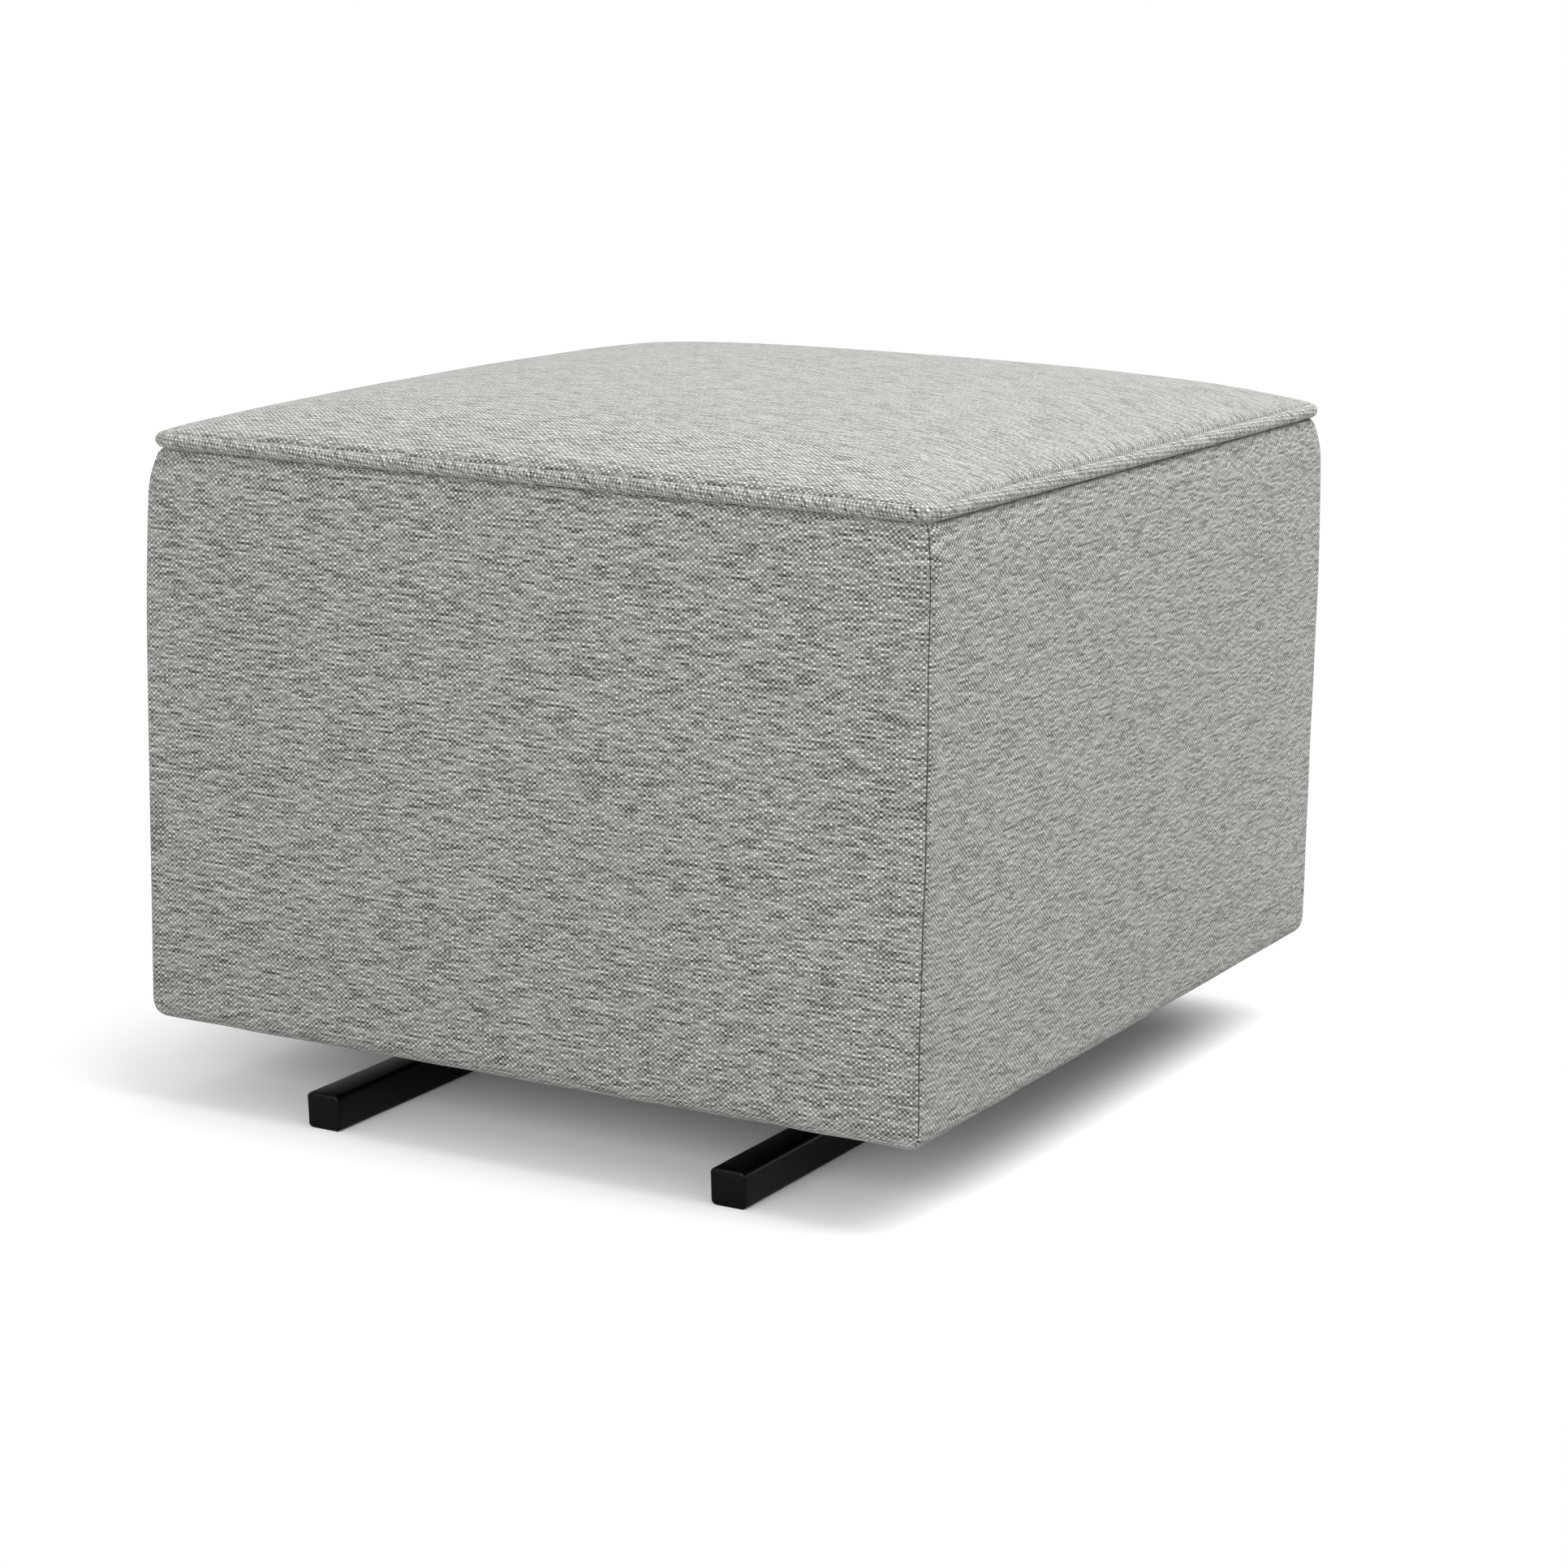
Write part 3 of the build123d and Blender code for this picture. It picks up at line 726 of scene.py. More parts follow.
@dataclass
class BoxForm:
    """The upholstered box: its outside, its seam and its hem, from the frame and in metres."""

    half_width: float = field(default_factory=lambda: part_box("cover_right")[1].x)
    half_depth: float = field(default_factory=lambda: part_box("cover_rear")[1].y)
    hem: float = field(default_factory=lambda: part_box("cover_front")[0].z)
    seam: float = field(default_factory=lambda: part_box("foam_pad")[1].z)
    deck: float = field(default_factory=lambda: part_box("foam_pad")[0].z)
    board_foot: float = field(default_factory=lambda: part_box("front_board")[0].z)
    board_face: float = field(default_factory=lambda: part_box("side_board_right")[1].x)
    top_tuck: float = 4.5 * MM
    tuck_height: float = 27 * MM
    hem_radius: float = 12 * MM
    edge_radius: float = 5 * MM
    seam_radius: float = 15 * MM
    corner_blend: float = 120 * MM

    def spans(self, side: BoxSide) -> tuple[float, float]:
        """Returns half the box's size along a wall, and half its size across that wall."""
        spans = (self.half_width, self.half_depth)
        return spans if side.value % 2 == 0 else spans[::-1]

    def tuck(self, height: np.ndarray) -> np.ndarray:
        """How far the wall draws in at a height: top_tuck times the square of the share of tuck_height."""
        share = np.clip((height - (self.seam - self.tuck_height)) / self.tuck_height, 0, 1)
        return self.top_tuck * share**2

    def corner(self, height: np.ndarray) -> np.ndarray:
        """The upright edge's radius: edge_radius, growing to seam_radius over the top corner_blend."""
        share = np.clip(1 - (self.seam - height) / self.corner_blend, 0, 1)
        return self.edge_radius + (self.seam_radius - self.edge_radius) * share**2


@dataclass
class Stuffing:
    """Swells padded pieces with one short cloth run, then holds each point within a cap."""

    pressure: float = 4.0
    mass: float = 0.3
    stretch: float = 15.0
    bending: float = 0.5
    frames: int = 20
    held_below: float = 0.02
    waiting: list[tuple[bpy.types.Object, np.ndarray, float]] = field(default_factory=list)

    def take(self, piece: bpy.types.Object, free: np.ndarray, cap: float) -> None:
        """Adds a piece to the run.

        Args:
            piece: the padded piece, its mesh final but for the swelling.
            free: for each point, 0 where it is held to 1 where it may move.
            cap: how far a point may move, in metres.
        """
        self.waiting.append((piece, free, cap))

    def run(self) -> None:
        """Steps the cloth for all pieces together and keeps the capped result, with no Cloth left.

        A point's move m becomes cap * tanh(m / cap), times how free the point is.
        """
        scene = bpy.context.scene
        starts = [points_of(piece) for piece, _, _ in self.waiting]
        for piece, free, _ in self.waiting:
            held = piece.vertex_groups.new(name="held")
            held.add(np.flatnonzero(free < self.held_below).tolist(), 1.0, "REPLACE")
            cloth = piece.modifiers.new("swelling", "CLOTH")
            cloth.settings.quality = 4
            cloth.settings.mass = self.mass
            cloth.settings.tension_stiffness = cloth.settings.compression_stiffness = self.stretch
            cloth.settings.bending_stiffness = self.bending
            cloth.settings.use_pressure = True
            cloth.settings.uniform_pressure_force = self.pressure
            cloth.settings.effector_weights.gravity = 0
            cloth.settings.vertex_group_mass = "held"
            cloth.collision_settings.use_collision = False
            cloth.point_cache.frame_start, cloth.point_cache.frame_end = 1, self.frames
        for step in range(1, self.frames + 1):
            scene.frame_set(step)
        graph = bpy.context.evaluated_depsgraph_get()
        for (piece, free, cap), start in zip(self.waiting, starts):
            shown = piece.evaluated_get(graph).to_mesh()
            swollen = np.zeros(len(shown.vertices) * 3, np.float32)
            shown.vertices.foreach_get("co", swollen)
            move = swollen.reshape(-1, 3) - start
            size = np.maximum(np.linalg.norm(move, axis=1, keepdims=True), 1e-9)
            capped = cap * np.tanh(size / cap)
            piece.modifiers.clear()
            piece.vertex_groups.clear()
            put_points(piece, start + move / size * capped * free[:, None])
            LOG.info("%s swells by %.1f mm at most", piece.name, float(capped.max() / MM))
        scene.frame_set(1)


@dataclass
class WallPads:
    """Four padded walls of cover and wadding, sewn together at the upright corner seams.

    Attributes:
        form: the box that the walls stand round.
        cell: the grid's step along and up the wall.
        roll: the radius at which the cloth rolls into the corner seams.
        uneven, wander, hem_waver: how far the face, the corner seams and the hem stray.
        swell: the cap on the cloth run's swelling.
        least_radius: the corner radius deep inside the pad.
        skin: how deep below the face the unevenness dies out.
        side_fade, seam_fade, swell_fade, hem_fade: the widths over which an effect comes in.
        held_sides, held_ends: the margins that the cloth run holds still.
        arc_shares: where the grid has its columns on the way round a corner to its seam.
    """

    form: BoxForm
    cell: float = 6.0 * MM
    roll: float = 1.2 * MM
    uneven: float = 0.5 * MM
    wander: float = 0.35 * MM
    swell: float = 1.6 * MM
    least_radius: float = 0.6 * MM
    skin: float = 4 * MM
    side_fade: float = 40 * MM
    seam_fade: float = 30 * MM
    swell_fade: float = 50 * MM
    held_sides: float = 8 * MM
    held_ends: float = 14 * MM
    hem_fade: float = 20 * MM
    hem_waver: float = 0.5 * MM
    arc_shares: tuple[float, ...] = (0.25, 0.5, 0.7, 0.82, 0.9, 0.95, 0.985, 1.0)

    def outline(self) -> tuple[np.ndarray, np.ndarray, np.ndarray]:
        """The section of a wall pad: over the lip, down the wall, round the hem and back up inside.

        Returns:
            Inset from the wall plane, height, and how deep inside the outer skin each point lies.
        """
        form = self.form
        # The lip turns in under the welt and leaves a narrow dark gap there.
        lip_in = np.array([9.3, 7.8, 6.6, 5.6, 4.75]) * MM
        lip_up = form.seam - np.array([0.9, 0.7, 0.75, 1.0, 1.7]) * MM
        drawn = form.seam - np.array([3.4, 5.2, 7.8, 11.2, 15.2, 19.2, 23.2, 27.0]) * MM
        foot = form.hem + form.hem_radius
        fall = np.linspace(drawn[-1], foot, round((drawn[-1] - foot) / self.cell))[1:]
        turn = np.linspace(0, np.pi / 2, 8)[1:]
        under = np.array([3.3, 6.6, 9.6]) * MM + form.hem_radius
        # Inside, the hem turns back over the board's foot, and the pad lies against the board's face.
        board = form.half_width - form.board_face - 0.1 * MM
        inner_in = np.array([22.2, 22.2, 17.0, 12.0, 8.6]) * MM
        inner_up = form.board_foot - np.array([0.0, 0.6, 0.2, 0.2, 0.2]) * MM
        inner_up[0] = form.hem + 0.5 * MM
        back = np.linspace(form.board_foot + 0.6 * MM, form.seam - 3.2 * MM, 14)
        stretches = [
            (lip_in, lip_up),
            (form.tuck(drawn), drawn),
            (np.zeros_like(fall), fall),
            (form.hem_radius * (1 - np.cos(turn)), form.hem + form.hem_radius * (1 - np.sin(turn))),
            (under, np.full_like(under, form.hem)),
            (inner_in, inner_up),
            (np.full_like(back, board), back),
            ([8.7 * MM], [form.seam - 2.3 * MM]),
        ]
        inset, height = map(np.concatenate, zip(*stretches))
        return inset, height, np.maximum(inset - form.tuck(height), 0)

    def points(self, side: BoxSide) -> tuple[np.ndarray, np.ndarray]:
        """One wall's closed skin: the section carried from corner seam to corner seam.

        Along the wall a point runs straight to the corner circle, then round it by 45 degrees to the
        seam. Within `roll` of the seam it rolls inwards on a quarter circle, which leaves the groove.

        Args:
            side: which wall.

        Returns:
            Points (section x along x 3) and cloth coordinates.
        """
        form = self.form
        half_along, half_across = form.spans(side)
        inset, height, depth = (line[:, None] for line in self.outline())
        radius = np.maximum(form.corner(height) - depth, self.least_radius)
        straight = half_along - inset - radius
        count = round(2 * half_along / self.cell) | 1
        run = np.linspace(-1, 1, count)[None, :]
        ends = np.array(self.arc_shares)[None, :]
        angle = ends * np.pi / 4
        along_arc = straight + radius * np.sin(angle)
        across_arc = half_across - inset - radius * (1 - np.cos(angle))
        near = radius * np.pi / 4 * (1 - ends)
        rolled = np.clip(1 - near / self.roll, 0, 1)
        sink = self.roll * (1 - np.sqrt(1 - rolled**2)) * (depth < 6 * MM) / math.sqrt(2)
        along_arc, across_arc = along_arc - sink, across_arc - sink
        along = np.concatenate([-along_arc[:, ::-1], run * straight, along_arc], 1)
        flat = np.broadcast_to(half_across - inset, (len(inset), count))
        across = np.concatenate([across_arc[:, ::-1], flat, across_arc], 1)
        up = np.broadcast_to(height, along.shape).copy()
        # Soft unevenness of the wadding, only on the outer skin and away from the seams.
        face = np.clip(1 - depth / self.skin, 0, 1) * np.clip((form.seam - up) / self.seam_fade, 0, 1)
        edge = np.clip((half_along - np.abs(along)) / self.side_fade, 0, 1)
        across = across + self.uneven * ripple(along, up, 40 + side.value, 0.11) * face * edge
        # The hem line wavers a little.
        low = np.clip(1 - (up - form.hem) / self.hem_fade, 0, 1) * (depth < self.hem_fade)
        up = up + self.hem_waver * ripple(along, along * 0.3, 60 + side.value, 0.06) * low * edge
        points = np.stack([along, -across, up], -1)
        girth = run_length(inset[:, 0], height[:, 0])
        round_it = straight + radius * angle
        wide = np.concatenate([-round_it[:, ::-1], run * straight, round_it], 1)
        cloth = np.stack([wide + 1.37 * side.value, np.broadcast_to(-girth[:, None], wide.shape)], -1)
        cloth = np.concatenate([cloth, cloth[-1:] - [0.0, 1 * MM]])
        return self.wandered(turned(points, side)), cloth

    def wandered(self, points: np.ndarray) -> np.ndarray:
        """Shifts points near each upright seam sideways, the same on both its walls.

        The shift is wander * (two sines of the height), fading over 8 mm from the seam.

        Args:
            points: points with X, Y and Z along the last axis.

        Returns:
            The shifted points, in the same layout.
        """
        form = self.form
        x, y, z = points[..., 0], points[..., 1], points[..., 2]
        off = np.abs((form.half_width - np.abs(x)) - (form.half_depth - np.abs(y))) / math.sqrt(2)
        reach = np.minimum(form.half_width - np.abs(x), form.half_depth - np.abs(y))
        fade = np.exp(-((off / (8 * MM)) ** 2)) * (reach < 14 * MM)
        phase = np.sign(x) * 1.3 + np.sign(y) * 0.6
        waves = np.sin(z / (31 * MM) + phase) + 0.5 * np.sin(z / (11 * MM) + 2 * phase)
        shift = self.wander * waves * fade / math.sqrt(2)
        return points + np.stack([shift * -np.sign(y), shift * np.sign(x), np.zeros_like(z)], -1)

    def make(self, stuffing: Stuffing) -> list[bpy.types.Object]:
        """Builds the four walls, hands them to the stuffing run and dresses them.

        Args:
            stuffing: the cloth run that swells them.

        Returns:
            The four pieces.
        """
        form, made = self.form, []
        for side in BoxSide:
            points, cloth = self.points(side)
            name = side.name.lower()
            pad = piece_from(f"wall_pad_{name}", [Patch(points, cloth, closed_rows=True)])
            spots = turned(points_of(pad), BoxSide((4 - side.value) % 4))
            half_along, half_across = form.spans(side)
            free = (
                np.clip((half_along - np.abs(spots[:, 0]) - self.held_sides) / self.side_fade, 0, 1)
                * np.clip((form.seam - self.held_ends - spots[:, 2]) / self.swell_fade, 0, 1)
                * np.clip((spots[:, 2] - form.hem - self.held_ends) / self.side_fade, 0, 1)
                * (half_across + spots[:, 1] < 3 * MM)
            )
            stuffing.take(pad, free, self.swell)
            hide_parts(f"cover_{name}", f"padding_{name}")
            WEAVE.put_on(pad)
            made.append(pad)
        return made

    def finish(self, pads: Iterable[bpy.types.Object]) -> None:
        """Args:
            pads: the four walls.
        """
        for pad in pads:
            subdivide(pad)
            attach(pad, "ottoman")
            LOG.info("%s: %d points", pad.name, len(pad.data.vertices))


@dataclass
class SeatCushion:
    """The crowned seat: foam and fibre under the top panel, closed down to the deck."""

    form: BoxForm
    crown: float = 24.5 * MM
    power: float = 2.7
    fullness: float = 0.46
    rim_inset: float = 6.0 * MM
    rim_lift: float = 3.9 * MM
    side_inset: float = 8.15 * MM
    foot_gap: float = 0.3 * MM
    free_over: float = 30 * MM
    corner_radius: float = 11 * MM
    swell: float = 2.0 * MM
    uneven: float = 0.5 * MM
    cells: tuple[int, int] = (68, 74)
    crowding: float = 0.85

    def spread(self, count: int) -> np.ndarray:
        """Positions from -1 to 1, closer near the rim: sin of an even angle to the power crowding."""
        even = np.linspace(-1, 1, count)
        return np.sign(even) * np.sin(np.abs(even) * np.pi / 2) ** self.crowding

    def laid(self, inset: float, radius: float) -> tuple[np.ndarray, np.ndarray, np.ndarray]:
        """Maps the square grid onto a rounded rectangle.

        A grid place (a, b) lies on the square ring of size m = max(|a|, |b|). The ring's corner is cut
        by a circle of radius times m, so that the rim follows the seam and the middle stays even.

        Args:
            inset: the rim's distance inside the wall planes.
            radius: the rim's corner radius.

        Returns:
            x, y and the square coordinates stacked as rows x columns x 2.
        """
        form = self.form
        a, b = np.meshgrid(*[self.spread(count + 1) for count in self.cells], indexing="ij")
        half_x, half_y = form.half_width - inset, form.half_depth - inset
        ring = np.maximum(np.abs(a), np.abs(b))
        x, y = a * half_x, b * half_y
        cut = radius * ring
        over_x = np.abs(x) - (ring * half_x - cut)
        over_y = np.abs(y) - (ring * half_y - cut)
        # A place within `cut` of the ring's corner both ways goes onto the circle at the same angle.
        corner = (over_x > 0) & (over_y > 0)
        reach = np.maximum(np.maximum(over_x, over_y), 1e-9)
        pull = np.where(corner, reach / np.maximum(np.hypot(over_x, over_y), 1e-9), 1.0)
        x = np.where(corner, np.sign(x) * (np.abs(x) - over_x + over_x * pull), x)
        y = np.where(corner, np.sign(y) * (np.abs(y) - over_y + over_y * pull), y)
        return x, y, np.stack([a, b], -1)

    def crowned(self, square: np.ndarray) -> np.ndarray:
        """Height over the rim: crown * ((1 - |a|^p) (1 - |b|^p))^fullness, which is 0 all along the rim."""
        share = 1 - np.abs(square) ** self.power
        return self.crown * np.clip(share[..., 0] * share[..., 1], 0, 1) ** self.fullness

    def laid_out(self, top: np.ndarray) -> np.ndarray:
        """Cloth coordinates of the crown: the length of cloth from the middle, along each grid line.

        Args:
            top: the crown's points, rows x columns x 3.

        Returns:
            Rows x columns x 2, in metres, with an offset so that the weave differs from the walls'.
        """
        laid = []
        for axis, start in ((0, 9.1), (1, 4.2)):
            lengths = np.linalg.norm(np.diff(top, axis=axis), axis=-1)
            blank = np.zeros_like(np.take(lengths, [0], axis=axis))
            far = np.cumsum(np.concatenate([blank, lengths], axis), axis=axis)
            laid.append(far - np.take(far, [top.shape[axis] // 2], axis=axis) + start)
        return np.stack(laid, -1)

    def make(self, stuffing: Stuffing, rim_height: float) -> bpy.types.Object:
        """Builds the closed cushion: crown, drop behind the welt, sides and base.

        Args:
            stuffing: the cloth run that swells it.
            rim_height: the height at which the top panel leaves the welt.

        Returns:
            The piece.
        """
        form = self.form
        x, y, square = self.laid(self.rim_inset, self.corner_radius)
        z = rim_height + self.crowned(square)
        z = z + self.uneven * ripple(x, y, 7, 0.16) * np.prod(1 - square**2, axis=-1)
        top = np.stack([x, y, z], -1)
        cloth = self.laid_out(top)
        foot_x, foot_y, _ = self.laid(self.side_inset, self.corner_radius)
        foot = form.deck + self.foot_gap
        base = np.stack([foot_x, foot_y, np.full_like(foot_x, foot)], -1)
        rims = [np.concatenate([g[:-1, 0], g[-1, :-1], g[:0:-1, -1], g[0, :0:-1]]) for g in (top, base)]
        # Each ring of the side: how far it has gone over from the top's rim to the base's, and its height.
        drop = [(0.0, None), (0.0, rim_height - 2 * MM), (0.0, form.seam - 1 * MM)]
        levels = np.linspace(form.seam - 14 * MM, form.deck + 2 * MM, 5)
        drop += [(1.0, height) for height in (form.seam - 4 * MM, *levels, foot)]
        rings = []
        for share, height in drop:
            ring = rims[0] * (1 - share) + rims[1] * share
            if height is not None:
                ring[:, 2] = height
            rings.append(ring)
        side = np.stack(rings)
        along = np.arange(side.shape[1] + 1) * 7 * MM
        down = np.arange(len(drop)) * 8 * MM
        side_cloth = grid(along[None, :], -down[:, None])
        cushion = piece_from(
            "seat_cushion",
            [Patch(top, cloth), Patch(side, side_cloth, closed_columns=True), Patch(base, cloth)],
        )
        spots = points_of(cushion)
        free = (
            np.clip((form.half_width - self.rim_inset - np.abs(spots[:, 0])) / self.free_over, 0, 1)
            * np.clip((form.half_depth - self.rim_inset - np.abs(spots[:, 1])) / self.free_over, 0, 1)
            * (spots[:, 2] > rim_height)
        )
        stuffing.take(cushion, free, self.swell)
        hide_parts("cover_top", "foam_pad")
        WEAVE.put_on(cushion)
        return cushion

    def finish(self, cushion: bpy.types.Object) -> None:
        """Args:
            cushion: the seat.
        """
        subdivide(cushion)
        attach(cushion, "ottoman")
        LOG.info("%s: %d points", cushion.name, len(cushion.data.vertices))


@dataclass
class WeltCord:
    """The covered cord sewn into the top seam all round."""

    form: BoxForm
    step: float = 3.2 * MM
    sides: int = 20
    uneven: float = 0.12 * MM

    def make(self) -> bpy.types.Object:
        """Sweeps a circle along the rounded rectangle of the seam.

        A point is the path point + r * (outward * cos(turn) + up * sin(turn)), where r wavers a little
        with the distance along the cord.

        Returns:
            The piece.
        """
        low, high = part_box("welt_cord")
        radius = (high.z - low.z) / 2
        centre = (high.z + low.z) / 2
        bend = self.form.seam_radius - (self.form.half_width - high.x) / 2 - 0.25 * MM
        line, outward, far = rounded_rectangle(high.x - radius, high.y - radius, bend, self.step)
        turn = round_angles(self.sides)
        waver = self.uneven * ripple(far[:-1], far[:-1] * 0, 5, 0.05)[:, None]
        size = radius + waver
        flat = line[:, None, :] + outward[:, None, :] * (size * np.cos(turn))[..., None]
        up = centre + size * np.sin(turn)
        points = np.concatenate([flat, up[..., None]], -1)
        wrap = np.linspace(0, 2 * np.pi * radius, self.sides + 1)
        cloth = grid(far[:, None], wrap[None, :])
        welt = piece_from("welt", [Patch(points, cloth, closed_rows=True, closed_columns=True)])
        WELT_WEAVE.put_on(welt)
        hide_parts("welt_cord")
        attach(welt, "ottoman")
        LOG.info("welt: %.2f m round", float(far[-1]))
        return welt


@dataclass
class CornerStitching:
    """The thread that shows in the grooves of the four upright corner seams."""

    form: BoxForm
    pitch: float = 4.6 * MM
    length: float = 4.2 * MM
    radius: float = 0.5 * MM
    sides: int = 6
    from_hem: float = 14 * MM
    from_seam: float = 4 * MM
    depth_share: float = 0.55

    def make(self, pads: WallPads) -> bpy.types.Object:
        """Lays one rounded bar of thread along the groove for every stitch.

        A bar is a spindle: its radius is r * sqrt(1 - t^2) from end to end. It lies depth_share of the
        way down the groove.

        Args:
            pads: the walls, whose seams wander sideways.

        Returns:
            One piece that holds every stitch.
        """
        form = self.form
        heights = np.arange(form.hem + self.from_hem, form.seam - self.from_seam, self.pitch)
        along = np.linspace(-0.96, 0.96, 5)[:, None]
        around = round_angles(self.sides)
        thick = self.radius * np.sqrt(1 - along**2)
        bar = grid(along * self.length / 2, thick * np.cos(around), thick * np.sin(around))
        back = form.tuck(heights) + form.corner(heights) * (1 - 1 / math.sqrt(2))
        back = back + (pads.roll * self.depth_share) / math.sqrt(2)
        patches = []
        for sign_x in (-1, 1):
            for sign_y in (-1, 1):
                x, y = sign_x * (form.half_width - back), sign_y * (form.half_depth - back)
                spot = pads.wandered(np.stack([x, y, heights], -1))
                across = np.array([-sign_y, sign_x, 0]) / math.sqrt(2)
                out = np.array([sign_x, sign_y, 0]) / math.sqrt(2)
                axes = np.stack([[0, 0, 1], across, out])
                bars = spot[:, None, None, :] + (bar @ axes)[None]
                patches += [Patch(one, closed_columns=True) for one in bars]
        stitches = piece_from("corner_stitching", patches)
        THREAD.put_on(stitches)
        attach(stitches, "ottoman")
        LOG.info("corner_stitching: %d stitches", len(patches))
        return stitches


@dataclass
class DustCovers:
    """Three panels of dust cloth under the box, with folded long edges, and their staples."""

    fold: float = 12 * MM
    turn: float = 0.4 * MM
    thickness: float = 0.35 * MM
    sag: float = 0.8 * MM
    hang: float = 0.15 * MM
    pucker: float = 0.12 * MM
    step: float = 9 * MM
    staple_length: float = 10 * MM
    staple_wire: float = 0.65 * MM
    staple_gap: float = 55 * MM
    staple_margin: float = 16 * MM
    end_line: float = 5 * MM
    side_line: float = 4 * MM
    side_margin: float = 45 * MM
    side_staples: int = 8

    def panel(self, name: str) -> bpy.types.Object:
        """One panel: a strip whose two long edges fold back above it.

        Across the strip a point runs in along the upper fold, round a half circle of radius `turn`,
        and along the flat; the flat sags by sag * (1 - a^2) (1 - b^4) between its fixed edges.

        Args:
            name: the CAD node that it stands for.

        Returns:
            The piece.
        """
        low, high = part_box(name)
        middle, half = (low.x + high.x) / 2, (high.x - low.x) / 2
        bend = np.linspace(np.pi / 2, 3 * np.pi / 2, 7)
        flat = np.linspace(-1, 1, max(9, round(2 * half / self.step)))[1:-1]
        folded = [-half + self.fold, -half + self.fold / 2]
        left_x = np.concatenate([folded, -half + self.turn + self.turn * np.cos(bend)])
        left_z = np.concatenate([[2 * self.turn] * 2, self.turn + self.turn * np.sin(bend)])
        x = np.concatenate([left_x, flat * (half - self.turn), -left_x[::-1]])
        z = np.concatenate([left_z, np.zeros_like(flat), left_z[::-1]])
        y = np.linspace(low.y, high.y, round((high.y - low.y) / self.step))
        long = y / max(abs(low.y), 1e-9)
        drop = self.sag * np.clip(1 - (x / half) ** 2, 0, 1)[None, :] * (1 - long**4)[:, None]
        wide, deep = np.meshgrid(x, y)
        up = low.z + self.hang + z + (self.pucker * ripple(wide, deep, 90, 0.05) - drop) * (z < self.turn)
        points = np.stack([middle + wide, deep, up], -1)
        run = run_length(x, z)
        cloth = grid(run[None, :] + middle, y[:, None])
        # The corners are taken the other way round, so that the faces look down.
        corners, uv = Patch(points, cloth).quads()
        panel = new_piece(name + "_cloth", points.reshape(-1, 3), corners[:, ::-1], uv[:, ::-1])
        thick = panel.modifiers.new("thickness", "SOLIDIFY")
        thick.thickness, thick.offset = self.thickness, 0.0
        DUST_CLOTH.put_on(panel)
        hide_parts(name)
        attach(panel, "ottoman")
        LOG.info("%s: flat %.4f x %.4f m", panel.name, run[-1], high.y - low.y)
        return panel

    def staples(self) -> bpy.types.Object:
        """Wire staples along the fixed edges, each a rounded bar with two legs' tops turned up.

        Returns:
            One piece that holds every staple.
        """
        left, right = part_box("dust_cover_left"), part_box("dust_cover_right")
        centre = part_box("dust_cover_centre")
        spots: list[tuple[float, float, float]] = []
        for end in (-1, 1):
            y = end * (left[1].y - self.end_line)
            for low, high in (left, centre, right):
                count = max(2, round((high.x - low.x) / self.staple_gap))
                row = np.linspace(low.x + self.staple_margin, high.x - self.staple_margin, count)
                spots += [(float(x), y, 0.0) for x in row]
        for x in (left[0].x + self.side_line, right[1].x - self.side_line):
            low, high = left[0].y + self.side_margin, left[1].y - self.side_margin
            spots += [(x, float(y), 90.0) for y in np.linspace(low, high, self.side_staples)]
        wire = self.staple_wire / 2
        along = np.array([-1.0, -0.97, -0.9, 0.9, 0.97, 1.0])[:, None] * self.staple_length / 2
        lift = np.array([1.4, 0.5, 0.0, 0.0, 0.5, 1.4])[:, None] * MM
        around = round_angles(6) + np.pi / 6
        # The wire is flattened, 1.6 times as wide as it is thick.
        bar = grid(along, 1.6 * wire * np.cos(around), lift + wire * np.sin(around))
        patches = []
        for x, y, turn in spots:
            spin = np.array(Matrix.Rotation(math.radians(turn), 3, "Z")).T
            patches.append(Patch(bar @ spin + [x, y, left[0].z - wire - 0.1 * MM], closed_columns=True))
        staples = piece_from("dust_cover_staples", patches, crease=50)
        ZINC.put_on(staples)
        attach(staples, "ottoman")
        LOG.info("dust_cover_staples: %d staples", len(spots))
        return staples


# ----------------------------------------------------------------------------------------------- base


